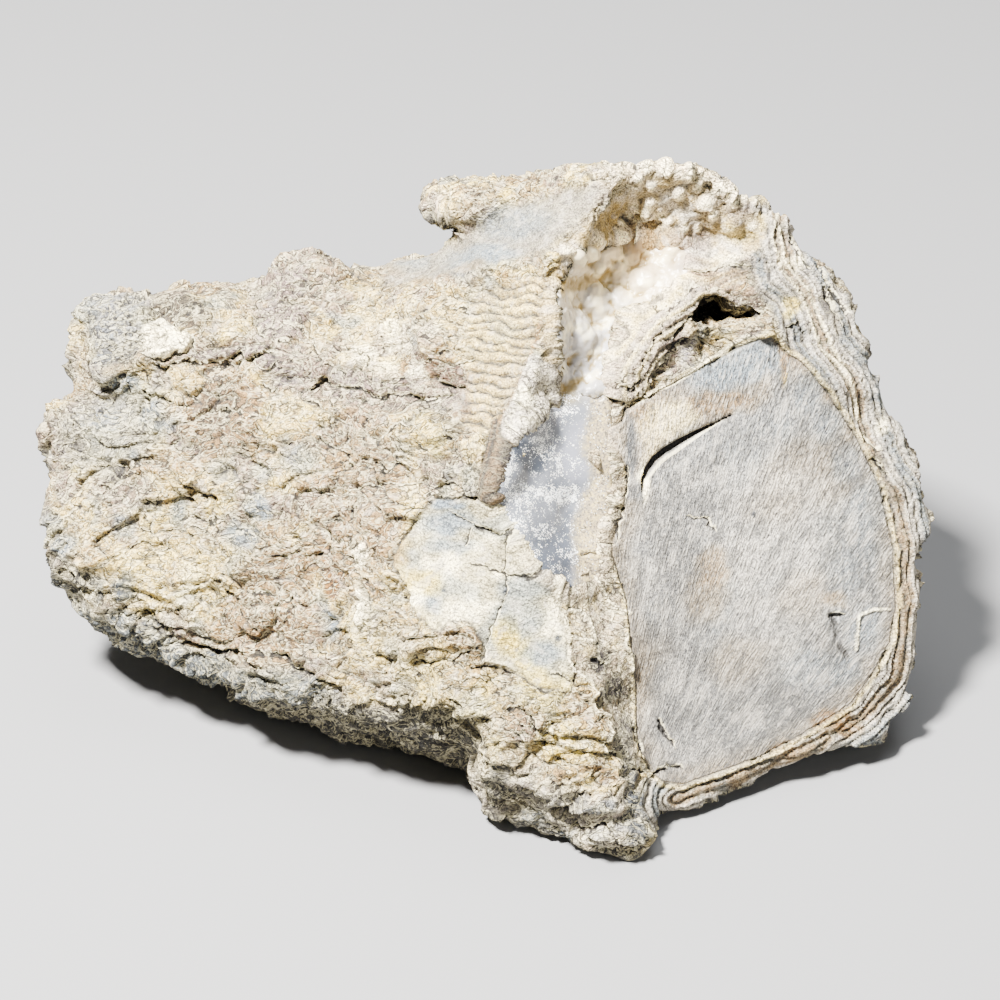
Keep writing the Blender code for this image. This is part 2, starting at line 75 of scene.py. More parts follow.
# ---- outlines of the surfaces on the show side ----
LIMB = (
    (20.5, 39), (24, 41), (28.5, 43.5), (33, 46), (37.5, 48.5), (42, 50), (44, 48), (46.5, 46.5),
    (51, 41.5), (55.5, 35), (59, 27.5), (61, 19), (61.5, 10), (60.5, 4.5), (58, 0), (54.5, -4.5),
    (50.5, -7), (46, -9.5), (41, -12), (35.5, -13.8), (32, -15), (29, -16), (26, -15.5), (24.5, -14),
    (22.5, -10.5), (22, -6.5), (22, -2), (21.5, 2.5), (21, 7), (20.5, 11.5), (18.5, 17.5), (19, 21),
    (20, 24), (20.5, 27.5), (20.5, 30.5), (19.5, 33), (19, 36),
)
PLATE = (
    (-7.5, 26), (-3.5, 26), (-0.5, 26), (2, 25), (3, 22), (7, 15), (9, 13.5), (10.5, 10.5), (11.5, 7),
    (12, 3), (13, 1.5), (12, -1.5), (8, -1), (4, 1), (-0.5, 3), (-0.5, 5.5), (-2, 8), (-3.5, 8.5),
    (-5.5, 8.5), (-6.5, 7), (-8, 7.5), (-9, 9), (-10, 9), (-11, 10.5), (-11, 12), (-12, 14.5),
    (-13.5, 16.5), (-13.5, 17.5), (-12, 20), (-9.5, 23.5),
)
WINDOW = (
    (2.5, 34.5), (1.5, 32.5), (1, 29), (0.5, 26), (2, 25), (3, 22.5), (7, 15.5), (9, 13.5), (11.5, 12.5),
    (14.5, 14.5), (16.5, 17), (18, 19.5), (18, 23), (18.5, 26), (19, 30.5), (18.5, 34.5), (18, 37.5),
    (16.5, 40), (14, 41.5), (10, 40.5), (9, 40.5), (7, 39), (5.5, 37), (4.5, 36),
)
TAN_RIM = (
    (18.5, 17.5), (16.5, 17), (14.5, 14.5), (10.5, 12.5), (12, 8.5), (12.5, 3.5), (13.5, 1), (16.5, -1.5),
    (18, -5.5), (18, -8.5), (17.5, -10.5), (21, -13), (24, -14.5), (22.5, -10), (22, -6.5), (22, -2),
    (21.5, 3.5), (21, 10),
)
HOLLOW = (
    (22, 72.5), (19.5, 70.5), (17, 68.5), (14.5, 66), (11.5, 63.5), (10, 60), (8.5, 54.5), (8, 52.5),
    (8, 48.5), (8, 45), (9.5, 42.5), (11.5, 41.5), (14.5, 41), (18.5, 40.5), (17, 43.5), (18, 46),
    (18.5, 48), (21.5, 52.5), (25.5, 55.5), (30, 58.5), (34.5, 60.5), (38.5, 62.5), (40, 63), (41.5, 65),
    (41, 68), (37, 69), (33.5, 70.5), (31.5, 72.5), (28.5, 73), (24.5, 73.5),
)
TONGUE = (
    (21.5, 52.5), (25.5, 55.5), (30, 58.5), (34.5, 60.5), (37, 62.5), (39, 62.5), (39, 59.5), (37, 57),
    (32, 56), (30, 52.5), (27, 48.5), (25, 45), (23, 41), (20.5, 40), (18.5, 41), (17, 43.5), (18.5, 48),
)
TONGUE_SPINE = ((17, 41), (17.5, 46), (21.5, 52.5), (25.5, 55.5), (30, 58.5), (34.5, 60.5), (39, 62.5))
CAVITY = (
    (29.5, 51.8), (30.2, 53), (31.4, 54.9), (32.4, 56), (34.2, 56.1), (35.2, 55.1), (37, 54.3),
    (40.4, 53.9), (41.4, 53.4), (39.3, 52.8), (36.7, 52.9), (33.2, 53), (31, 51.7),
)
SLITS = (
    ((26.4, 47.3), (26.9, 48.9), (28.2, 49.8), (30, 50.3), (29.2, 49.2), (27.6, 48.2)),
    ((24.3, 43.9), (25, 45.2), (25.9, 45.8), (25.5, 44.9)),
)
ARCH = (
    (22, 72.5), (24.5, 73.5), (28.5, 73), (31.5, 72.5), (33.5, 70.5), (37, 69), (41, 68), (42.5, 67),
    (41, 69.5), (37.5, 72), (31.5, 74.5), (25, 76.5), (18, 75.5), (15, 73), (18, 71),
)
SADDLE = (
    (-15, 62), (-8.5, 64), (-2.5, 65), (5, 69.5), (12, 71), (17, 71), (13.5, 66), (8.5, 62), (2, 60.5),
    (-4, 59), (-10, 58.5), (-15.5, 59),
)
RIBS = (
    (-2.5, 55), (2, 57), (8, 58.5), (9, 56), (7.5, 49.5), (5.5, 44.5), (3, 39.5), (0.5, 35.5), (-3.5, 36),
    (-4.5, 40.5), (-2.5, 46), (-3, 50.5),
)
FOOT = (
    (-1.5, -6), (4, -4), (12, -4), (17, -10), (21, -13), (21.5, -20), (20, -27), (14, -28), (5, -24),
    (-2, -19),
)
LOWER_BAND = (
    (-64.5, 17), (-62.5, 12), (-58, 8.5), (-52, 7.5), (-48.5, 6.5), (-45.5, 4.5), (-42.5, 3), (-35, 3),
    (-30, 2.5), (-25, -0.5), (-21.5, -2), (-25.5, -4.5), (-33, -3.5), (-41, -2.5), (-48, -1), (-56, 1),
    (-62, 5), (-67, 12.5),
)
LIP_STRIP = (
    (1, 37.2), (2.9, 37.8), (2.4, 34), (1.7, 29.9), (0.9, 25.6), (-1.2, 25.8), (-0.5, 29.9), (0.2, 33.7),
)
LIP_SLIVER = (
    (6.3, 46.8), (7.6, 46.8), (8.2, 45.7), (9.7, 43.6), (10.2, 42.4), (8.6, 40.8), (7.4, 39.2),
    (6.6, 37.9), (5.7, 37.1), (4.3, 36.8), (3.8, 35.8), (3.1, 34.6), (2.4, 34), (2.2, 35.5), (2.6, 37.8),
    (4, 40.6), (5.2, 44),
)
SLIVER_GLINT = (5.3, 40.7, 0.8, 1.2)
NOTCH = ((4.2, 36.9), (5.4, 36.9), (5.7, 35.9), (4.6, 35.4), (3.2, 34.4), (2.5, 33.7), (3.4, 35.2))
# ---- cracks: (width in mm, path) ----
CRACKS = (
    (0.2, ((-51.4, 47.7), (-49.7, 46.7), (-48.3, 46.9), (-46.9, 47.7), (-45.4, 47.8))),
    (0.4, ((-50, 46.2), (-48.3, 45.4), (-46.9, 46.2), (-45.3, 46.6), (-43.3, 46.5), (-41.3, 46.7),
        (-39.8, 46.8), (-38.3, 47.5), (-37, 47.9), (-35.8, 46.9), (-34.5, 47.3), (-31.9, 48.3))),
    (0.18, ((-40.4, 46.1), (-37.4, 46.5), (-36.1, 47.2), (-33.6, 45.3), (-32.5, 45.3), (-31.7, 46.5))),
    (0.22, ((-35, 52.4), (-34, 50.7), (-32.3, 50), (-30.2, 49.9))),
    (0.28, ((-33.3, 43.3), (-32.4, 42.4), (-31.8, 42.6))),
    (0.2, ((-45.3, 50.7), (-44.2, 49.8), (-44, 48.7))),
    (0.18, ((-50.8, 53.6), (-49.1, 53.5), (-47.9, 52.9), (-46.4, 52.5))),
    (0.35, ((-39.4, 39.5), (-37.6, 39.2), (-36.6, 38.4))),
    (0.25, ((-36.3, 37.5), (-34.6, 38.1))),
    (0.35, ((-57.9, 28.2), (-55.7, 27.9), (-54.5, 29.2), (-52.9, 29.7))),
    (0.14, ((-59.1, 30.9), (-57, 31), (-54.5, 30.7), (-53.1, 30))),
    (0.3, ((-52, 25.3), (-50.8, 25.4), (-48.8, 25.7))),
    (0.18, ((-40.8, 28.3), (-38.9, 28.3))),
    (0.14, ((-34, 33.8), (-32.2, 33.1), (-28.5, 34.1))),
    (0.18, ((-54, 17.8), (-52.6, 19.4), (-51.4, 19.6), (-48.6, 19.3))),
    (0.28, ((-51.7, 21.3), (-50, 21), (-48.6, 21.3), (-45.6, 21.3), (-44.5, 22.2), (-42.4, 22),
        (-40, 23.4), (-38.3, 23.7))),
    (0.2, ((-48.5, 18.3), (-46.8, 20.3), (-43.8, 20.6), (-41.5, 22), (-39.1, 22.7))),
    (0.35, ((-43.3, 23.2), (-41.5, 22.7))),
    (0.28, ((-35.4, 22.6), (-34.1, 21.2), (-32.6, 20.6))),
    (0.16, ((-39.6, 12.9), (-38.4, 11.8), (-36.9, 10.9), (-36, 11.2))),
    (0.24, ((-34.3, 12.2), (-32.3, 11.9), (-30.8, 11.4), (-29.4, 10.8), (-28.3, 11.5))),
    (0.16, ((-36.3, 9), (-35.7, 8.2), (-34, 7.8), (-32, 7.9))),
    (0.45, ((-45.7, 4.4), (-43.3, 4.1), (-40.9, 3.2), (-36.8, 3.6), (-33.5, 3.1), (-30, 3), (-28.6, 1.2),
        (-24.9, -0.3), (-21.7, -1.6))),
    (0.4, ((-50.6, 7.6), (-48.6, 7.1), (-48.4, 6.2))),
    (0.24, ((-61.7, 15.3), (-60.3, 13.3), (-59.3, 12.4), (-56.4, 11.7))),
    (0.35, ((-63.9, 15.7), (-62.3, 15.9))),
    (0.18, ((-28.1, 27.1), (-25.5, 27.3), (-24.4, 26.9), (-23.8, 27.4))),
    (0.14, ((-25.5, 22.8), (-21.7, 22.8))),
    (0.18, ((-26.8, 4.1), (-25.1, 3.5), (-23.4, 2.6), (-21.6, 2.6))),
    (0.38, ((-26.4, 42.5), (-24.3, 43.8), (-22.9, 42.9), (-20.8, 42.4), (-18.5, 42.3), (-17.1, 41.5),
        (-15.6, 40.9), (-14.5, 41.3))),
    (0.24, ((-14.5, 41.3), (-12.5, 41.2), (-10.8, 41.3), (-9.1, 40.2), (-7.7, 41.1))),
    (0.28, ((-7.7, 43.9), (-6.8, 43), (-6, 42.5), (-3.4, 42.5))),
    (0.16, ((-15.3, 42.9), (-13.3, 43.1), (-11.6, 44.4))),
    (0.22, ((-27.8, 41.4), (-25.5, 40.4), (-24, 39.2), (-22.8, 38.7))),
    (0.28, ((-24.5, 35.1), (-23.1, 33.8), (-20.7, 32.9), (-19.8, 31.2), (-19, 30.4))),
    (0.16, ((-17.8, 35.3), (-15.5, 34.5), (-13.3, 36.9), (-11.5, 36.5), (-9.8, 35.9))),
    (0.45, ((-16.1, 31.3), (-15, 29.6), (-13.8, 31.2))),
    (0.28, ((-10.1, 34.2), (-9.3, 33.2), (-8.4, 32.9))),
    (0.16, ((-6.2, 37.8), (-5.4, 35), (-4.2, 34.2))),
    (0.32, ((-9, 26.7), (-6.5, 28.2), (-5.1, 28.3), (-3.9, 27.5), (-3.4, 26.3), (-0.9, 26.1))),
    (0.28, ((-11.5, 23.4), (-10.4, 24.7), (-9.3, 26.1), (-7.6, 26.7))),
    (0.14, ((-27.6, 26.8), (-25.3, 27.4), (-23.5, 26.7), (-21.8, 26.4), (-18.9, 27.5), (-15.5, 28.1),
        (-9.3, 28.4))),
    (0.3, ((-6.8, 47.1), (-6, 47.8), (-5.1, 47.1))),
    (0.18, ((-4.9, 54), (-3.5, 54.2), (-2.6, 52.7))),
    (0.16, ((-6.5, 45.5), (-3.4, 45.5), (-2, 46.1))),
    (0.18, ((-21.6, 45.2), (-20.3, 44.3))),
    (0.14, ((-27.1, 51.1), (-25.3, 47.8), (-23.2, 47.4))),
    (0.18, ((-4.5, 23.6), (-3.4, 23.2), (-1.8, 22.6))),
    (0.38, ((-1.2, 21.9), (-0.1, 21.6), (1.3, 21.1), (2.5, 21))),
    (0.28, ((-1.8, 16.7), (0.4, 16.1), (2.7, 15.2), (5.1, 14.8), (7.3, 14.5))),
    (0.14, ((2.9, 21.1), (2.8, 16.4), (2.9, 12.6), (2.4, 11.2), (1.6, 9), (0.7, 7.3), (-0.1, 4.6),
        (-0.4, 2.7))),
    (0.14, ((-2, 21.9), (-2.6, 20.8), (-2.7, 19.4))),
    (0.2, ((-12.9, 0.6), (-11.4, 1.7), (-8.1, 2.2), (-7.3, 2.8), (-5.1, 2.9), (-3.4, 3.9), (-2.3, 4.3))),
    (0.16, ((-5.1, 2.9), (-3.7, 1.9))),
    (0.22, ((-3.4, -0.2), (-1.7, 0.5), (0.2, -0.3), (2.7, -0.4))),
    (0.32, ((9.5, 1), (10.9, 0.4), (12.3, 0))),
    (0.4, ((3.2, -4.2), (4.8, -4), (6.5, -5.2), (7.3, -6.6))),
    (0.22, ((2.4, -5.3), (3.8, -6.9), (4.9, -7.8), (6.5, -8.6), (8.2, -8.9))),
    (0.22, ((5.1, -6.3), (7.6, -6.3))),
    (0.35, ((15.7, 2.8), (16.8, 2))),
    (0.3, ((13.8, 18.1), (17.2, 18))),
    (0.22, ((-19.9, 17.7), (-18.9, 15.7), (-18, 14.6))),
    (0.22, ((-19.4, 10.7), (-19.1, 8.2), (-18.2, 6.6))),
    (0.22, ((20.6, 30.3), (20.3, 26.1), (19.6, 23), (18.9, 19.6), (17.8, 18.6), (16.3, 18.8))),
    (0.9, ((9.9, -18.9), (11.5, -18.7), (13.2, -18.9), (14.3, -18.5))),
    (0.3, ((13.5, -21.3), (14.9, -21.2), (17, -20.9), (18.1, -22.1), (19.8, -24.1), (21.5, -24.7))),
    (0.2, ((14.1, -21.6), (14.6, -23.3), (17.1, -24.9), (19.8, -25.3), (21.5, -25.1))),
    (0.24, ((13.1, -16.4), (14.2, -15.8), (15.3, -16.1))),
    (0.24, ((6.5, -16.1), (8.7, -17.5))),
    (0.28, ((-0.7, -10.4), (1.3, -11.1))),
    (0.24, ((4.6, -13.2), (6, -13.5))),
    (0.32, ((17.3, -10.7), (19, -10.9), (19.8, -12.3), (21.6, -13.2), (24, -14.6), (25.4, -13.8),
        (26.5, -13.6))),
    (0.24, ((21.4, -7.5), (22.2, -9.5), (22.8, -11.8), (23.7, -13.2))),
    (0.28, ((26.8, -12.8), (28.5, -13.5))),
    (0.2, ((13.1, -3.2), (14.5, -2.9))),
    (0.24, ((15.8, -6.2), (17, -5.2))),
    (0.16, ((29.7, 23.3), (32.7, 22.9), (33.8, 21.5))),
    (0.32, ((51.4, 8.7), (53, 8.9))),
    (0.34, ((25.4, -6.7), (25.8, -7.9), (26.4, -9.1), (27.5, -10.2))),
    (0.3, ((22.2, 53.3), (24.5, 54.7), (26.3, 55.7), (28.2, 56.8), (30.4, 58.4), (33.2, 59.6),
        (35.9, 60.7), (38.2, 60.3))),
    (0.18, ((24.4, 53.3), (26.6, 54.1), (28.9, 55.2), (30.4, 56.5), (31.3, 57), (34.2, 57.1))),
    (0.2, ((19.8, 43), (20, 42.1), (20.9, 41.8), (22, 42.1), (22.8, 43.5))),
    (0.14, ((20, 43.4), (20.9, 44.1), (21.8, 44.3))),
    (0.24, ((25.7, 45.5), (26.6, 48.5), (27.9, 50.5), (30, 52.8))),
    (0.16, ((22.9, 45), (23.4, 47), (25.4, 50.6), (26.5, 53.3), (27.9, 54.5), (29.2, 55.8))),
    (0.34, ((14.2, 41.3), (14.8, 41), (15.9, 40.6), (17.2, 41.2), (18.3, 40.7), (19.4, 40.4))),
    (0.3, ((17, 62.6), (18.8, 63.8), (20.1, 64.7), (21.4, 65))),
    (0.3, ((23.3, 67.6), (24.2, 68), (24.8, 67.9))),
    (0.4, ((45.2, 68.2), (46.9, 66.1), (49.2, 61.7), (50.8, 58.1), (52, 55.8), (53.7, 53.7))),
    (0.3, ((20.6, 46.8), (21.7, 47.7))),
    (0.3, ((19.8, 42.4), (21.2, 42.1), (22.3, 42.9))),
    (0.45, ((9, 52), (10.1, 51.5), (10.2, 50.7))),
    (0.3, ((44.6, 65.4), (46.1, 62.7), (48, 60.5))),
    (0.3, ((50, 57.5), (51.5, 54.4), (52.6, 52.2))),
    (0.24, ((44.9, 51.3), (46.4, 52.1))),
    (0.28, ((56.4, 35.5), (58.7, 33.3))),
    (0.5, ((57.9, 31.7), (59.8, 29.8))),
)
# the wide curved gash in the end face
GASH = (
    (22.8, 25.4), (22.8, 27.2), (23.1, 29), (23.8, 30.5), (24.8, 31.9), (26.5, 33.2), (28.6, 34.5),
    (31.1, 35.9), (33.9, 37.3), (36.3, 38.5), (38, 38.9),
)
# the short comb of slanting cracks at the right of the end face
COMB = ((51.4, 8.8), (52.2, 7.1), (52.6, 5.5), (52.9, 4), (53.8, 2.8), (54.6, 1.2))
# raised pale veins
VEINS = (
    ((2.4, 24.7), (2.9, 21.1), (5.4, 19.2), (7.6, 15.3), (10.1, 11.2), (11.5, 8.1), (12, 6), (12, 2.7),
        (13.1, 1), (15.1, -0.1), (15.6, -1.8), (15.1, -2.9), (16.2, -4.8), (17.9, -5.2), (17.8, -7.3),
        (17, -9.5), (17.3, -11.2)),
    ((11.8, 9.9), (13.5, 9.7), (14.9, 8.6), (15.4, 6.7), (15.9, 5.3), (12, 6.2)),
    ((16.1, 13.5), (17.7, 11.3), (19.7, 9.6), (21.1, 9.4)),
    ((20.5, 6.3), (20.2, 4.6), (21.4, 3.2), (21.1, 0.9)),
    ((17.7, 17.7), (14.9, 18.4), (13.5, 18.6), (13.4, 17.9), (14.6, 17.6), (17.8, 17.6)),
    ((18.4, 35.1), (18.7, 37.9), (20, 39.6), (22.3, 40.1), (24.3, 41.6), (28.3, 43.3), (31.4, 45.5),
        (35.7, 48.4), (38.6, 50.2)),
    ((43.8, 71.2), (42.2, 64.9), (43.8, 60), (46.9, 56.3), (48.4, 51.8), (49.6, 48.4), (52.4, 46.1),
        (54.7, 42.4), (55.6, 37.8)),
    ((43.3, 66.4), (44.1, 61.2), (47.6, 57.4), (49.9, 52.2), (51.5, 48.4), (54.3, 43.9)),
    ((55.2, 3.6), (55.7, 8.6), (58, 9.5), (60.4, 9.5)),
)
# the thin ribbon along the broken lip of the rind
LIP = ((7.8, 51.4), (7.1, 48.9), (6.3, 46.8), (5.4, 44), (4.4, 41.8), (3.4, 39.6), (2.3, 37))
# raised pieces: (colour, height in mm, outline)
PIECES = (
    ("white", 0.9, ((-52, 52), (-50.9, 53.2), (-48.9, 53.3), (-47.3, 52.2), (-46.4, 51.3), (-44.6, 50.4),
        (-44.2, 48.9), (-45.3, 48), (-46.9, 47.7), (-48.6, 46.8), (-50, 46.9), (-51.5, 48.4),
        (-52, 50.1))),
    ("cream", 0.5, ((-48, 45.4), (-46.9, 45.8), (-44.7, 46), (-42.7, 45.8), (-42.2, 44.5), (-42.6, 42.8),
        (-44, 41.6), (-45.7, 41.1), (-46.9, 41.9), (-47.6, 43.6))),
    ("lilac", 0.2, ((-45.3, 47.7), (-41.3, 48.6), (-36, 48.8), (-32.5, 49.1), (-31.3, 47.6),
        (-31.7, 46.2), (-32.7, 45.5), (-34.5, 46.5), (-36, 47.4), (-38.3, 47.7), (-41.3, 47.1),
        (-44.2, 46.6))),
    ("lilac", 0.6, ((-32, 60), (-30.2, 60.7), (-27.2, 59.2), (-27.7, 56.8), (-28.8, 55.7), (-32.3, 55.3),
        (-31.9, 57.9))),
    ("lilac", 0.4, ((-30, 55.1), (-27.9, 55), (-26.4, 53.8), (-26.9, 52.3), (-28.6, 51.7), (-29.9, 53))),
    ("lilac", 0.3, ((-34.9, 53.6), (-32.9, 54.8), (-30.2, 54.5), (-28, 51.7), (-27.4, 50.5),
        (-29.9, 49.9), (-32.3, 50.2), (-34, 51.1))),
    ("white", 0.5, ((-19.5, 18.5), (-18.3, 19.6), (-16.9, 18.5), (-16.9, 16.9), (-18, 15.7),
        (-19.2, 16.6))),
    ("white", 0.6, ((-18.7, 12.4), (-18, 12.9), (-17.1, 11.3), (-17.2, 9.1), (-18.1, 7.1), (-18.9, 8.5))),
    ("cream", 0.5, ((-39.6, 14.9), (-38.3, 14.7), (-36.9, 13), (-36.9, 11.3), (-38.4, 11.8),
        (-39.6, 13.5))),
    ("mauve", 0.3, ((-7.7, 45.2), (-3.4, 45.6), (-3.2, 43.1), (-4, 42.3), (-5.7, 42.6), (-7.1, 43.2))),
)
# ---- stains: colour: (u, v, half width, half height, strength) ----
STAINS = {
    "yellow": ((-46, 50.1, 1.4, 1.4, 0.7), (-36.8, 44.2, 3.4, 2.3, 0.5), (-32.9, 37.5, 1.7, 2.6, 0.4),
        (-49.7, 23.6, 3.4, 1.4, 0.4), (-7.6, 35.3, 3.2, 3.2, 0.5), (-26, 38.9, 1.7, 1.7, 0.5),
        (-10.5, 38.7, 1.7, 1.4, 0.3), (-10.7, 24.2, 1.4, 2, 0.5), (-50.8, 11.7, 2.3, 3.2, 0.4),
        (-40, 10.4, 1.4, 2.3, 0.4), (-40.8, 17.8, 4, 1.4, 0.4), (-48.4, 11.7, 0.9, 2.9, 0.5),
        (-52.5, 16, 1.7, 1.4, 0.3), (-9.5, 13.9, 2.9, 1.7, 0.6), (-12.6, 19.1, 1.4, 3.2, 0.45),
        (3.2, 6.5, 1.7, 2.3, 0.8), (5.4, 3.5, 1.7, 2, 0.7), (6.8, 0.2, 2.6, 1.7, 0.5),
        (9.8, -2.2, 4.3, 2.6, 0.5), (10.1, -8.3, 3.4, 2.6, 0.5), (12, -10.8, 3.2, 2, 0.5),
        (38.2, 66.4, 2.9, 2.3, 0.4), (45.3, 54.4, 1.5, 1.5, 0.8), (43.8, 45.1, 0.5, 2.3, 0.9)),
    "lilac": ((-58.1, 57.4, 2.3, 2.6, 0.5), (-58.1, 52.8, 2.9, 2.3, 0.45), (-48.6, 43.9, 1.7, 1.4, 0.5),
        (-59, 39.8, 4.3, 2.3, 0.4), (-64.3, 31.9, 1.7, 4.6, 0.3), (-27.5, 59.9, 1.1, 2, 0.7),
        (-3.2, 58.1, 2.9, 1.1, 0.5), (30.4, 65, 2.9, 2, 0.5), (29.7, 60.7, 2.3, 1.1, 0.5),
        (37.7, 69.1, 2.6, 2.3, 0.4), (28.8, 48.3, 2.6, 2, 0.7), (37, 56.1, 3.2, 1.1, 0.5),
        (24, 34.5, 2.3, 4.1, 0.3)),
    "bluegrey": ((-54.9, 43.4, 2.6, 1.4, 0.7), (-51, 39.1, 1.4, 1.7, 0.6), (-58, 38, 1.7, 1.4, 0.4),
        (-33.4, 30.4, 1.7, 1.4, 0.5), (-27, 31.8, 2.6, 2.3, 0.5), (-46, 25, 1.1, 2, 0.5),
        (-39.8, 30.4, 1.4, 2, 0.4), (-33.6, 24.4, 1.7, 1.4, 0.5), (-14.1, 33.4, 2.6, 2, 0.45),
        (-13.3, 61.9, 4.6, 1.4, 0.45), (-0.7, 61.8, 5.2, 1.7, 0.6), (-2.6, 58.6, 2.3, 1.1, 0.4),
        (-63, 19.1, 1.7, 1.4, 0.6), (-36.2, 20.6, 2.6, 1.7, 0.7), (-33.6, 24.9, 1.7, 1.7, 0.6),
        (-46.2, 23.4, 1.1, 2, 0.5), (-23.1, 7.5, 1.7, 2, 0.8), (-54.7, 8.2, 2.3, 1.1, 0.6),
        (-5.4, 25.4, 2.6, 0.7, 0.8), (-5.7, 22.7, 3.2, 1.7, 0.7), (-4.5, 19.2, 3.2, 1.1, 0.5),
        (5.1, 13.1, 3.4, 1.7, 0.5), (5.1, 9.3, 3.4, 2, 0.4), (-7.6, 10.9, 1.4, 1.1, 0.6),
        (8.2, 3.7, 3.2, 1.7, 0.6), (6.8, -20.4, 2, 1.4, 0.4), (16.7, -18.1, 2, 1.1, 0.5),
        (11.5, -22.8, 1.7, 1.1, 0.6), (4.1, 66.7, 4.9, 2.6, 0.5), (0.8, 61.1, 3.2, 1.7, 0.5),
        (34.6, 44.5, 5.1, 2.3, 0.75), (40.1, 46.8, 3.7, 2.8, 0.65), (50.8, 37.4, 2.3, 2.8, 0.5),
        (48, 41.9, 1.8, 2.8, 0.5), (53.7, 31.5, 2.3, 2.8, 0.4), (58, 26, 2.8, 3.7, 0.3),
        (56.6, 6.3, 2.3, 3.2, 0.5), (53.8, 0.4, 2.3, 1.8, 0.5), (49.5, 0.5, 5.5, 2.8, 0.4)),
    "slate": ((-54, 12.7, 1.7, 1.9, 0.9), (-49.8, 7.1, 1.7, 1.1, 0.6), (-39.2, 2.8, 3.2, 0.6, 0.8),
        (20.4, -14.3, 1.4, 2.6, 0.5), (21.4, -20.2, 1.3, 5.2, 0.6)),
    "brown": ((-38.8, 39, 4.6, 3.4, 0.7), (-40.9, 34.7, 4.6, 1.7, 0.6), (-56.7, 29.6, 2.6, 1.4, 0.75),
        (-57.7, 47.4, 1.7, 1.4, 0.5), (-47.5, 54.6, 3.2, 1.4, 0.6), (-43.9, 53.1, 2.9, 2, 0.5),
        (-4.2, 35.8, 1.4, 1.7, 0.4), (-15, 30.6, 1.4, 1.4, 0.6), (-22.5, 34.1, 1.7, 1.4, 0.5),
        (-6.5, 37.8, 1.7, 1.4, 0.4), (-33.1, 15.9, 5.2, 2.3, 0.5), (-32, 11.9, 3.4, 1.7, 0.4),
        (16.8, 2.5, 1.4, 1.4, 0.8), (18.5, -1.4, 2, 1.7, 0.7), (17, -2.7, 1.1, 0.9, 0.7),
        (50.7, 55.2, 1.1, 1.9, 0.7), (58.3, 31.3, 1.5, 1.5, 0.6), (46.6, 63.6, 1.1, 1.5, 0.5),
        (59.5, 38.2, 1.1, 1.1, 0.5), (37.3, 60.2, 2.3, 1.1, 0.5)),
    "tan": ((-54.6, 59.2, 2.6, 1.1, 0.4), (-53.4, 47.7, 1.7, 1.7, 0.5), (-19.7, 60.8, 6.9, 1.7, 0.35),
        (-7.8, 58, 3.4, 1.1, 0.4), (-2.1, 60.1, 2, 0.9, 0.4), (-30.3, 8.5, 3.2, 3.2, 0.5),
        (-34.1, 5.3, 4.3, 1.7, 0.45), (-26.3, 17.8, 2.9, 1.7, 0.4), (-13.4, 8.1, 3.2, 2.3, 0.4),
        (-5, -0.1, 1.7, 2.6, 0.4), (13.4, -3.7, 3.2, 1.4, 0.4), (14.2, -5.1, 1.4, 3.2, 0.4),
        (35.9, 58.4, 4.3, 1.7, 0.4), (34.1, 40.2, 5.5, 1.4, 0.55), (28.6, 39.9, 3.7, 1.8, 0.4),
        (33.2, 16.1, 2.3, 2.8, 0.55), (32.3, 11.6, 3.2, 3.7, 0.4), (47.1, 11.5, 3.7, 3.2, 0.25),
        (51.8, 11.2, 1.8, 1.1, 0.5), (23.6, 38.1, 2.3, 1.8, 0.6)),
    "mauve": ((-25.5, 45.2, 1.7, 2, 0.6), (-18.2, 43.1, 3.7, 0.9, 0.7), (-11.6, 42.4, 2.3, 1.1, 0.7),
        (-9.1, 45.8, 2, 1.4, 0.6), (-5.4, 44, 2.6, 1.4, 0.6), (-17.6, 37.7, 3.7, 2, 0.45),
        (-4.3, 39.7, 2.3, 1.7, 0.5), (5.1, -6.3, 2.6, 2, 0.7)),
    "white": ((-49.6, 49.7, 2.3, 2.6, 0.7), (-10.2, 44.4, 1.3, 1.3, 0.9), (-17.7, 47.1, 1.7, 1.7, 0.7),
        (-14.8, 45, 1.7, 1.7, 0.5), (-13.4, 49.9, 2.3, 2.3, 0.5), (-7.7, 50.8, 1.4, 1.1, 0.5),
        (-44.6, 14.6, 2.3, 1.7, 0.5), (-4, 9.3, 3.2, 1.7, 0.6), (-10.1, 12, 1.4, 1.7, 0.5),
        (-18, 17.7, 1.3, 1.7, 0.8), (-18.1, 10.2, 0.9, 2.9, 0.9), (35.7, 61.6, 2, 1.1, 0.6),
        (45.7, 61.2, 1.5, 1.1, 0.6), (59.3, 36.7, 1.1, 1, 0.7), (27.2, 38.1, 3.2, 2.8, 0.5),
        (23.1, 28.2, 0.6, 2.8, 0.8), (5.3, 41.2, 1.1, 1.4, 0.8)),
    "orange": ((-23.8, 17.6, 1.1, 1.7, 0.8), (-22.3, 13.6, 1.3, 2.3, 0.9), (51.4, -6.9, 2.8, 1.8, 0.6),
        (53.8, -8.3, 2.3, 1.1, 0.5), (44.4, -10.8, 2.3, 1.1, 0.4), (23.2, 64.3, 4, 3.2, 0.35)),
    "grey": ((20.2, -8.5, 1.4, 3.4, 0.6), (21.3, 32.7, 0.7, 4.1, 0.7)),
}
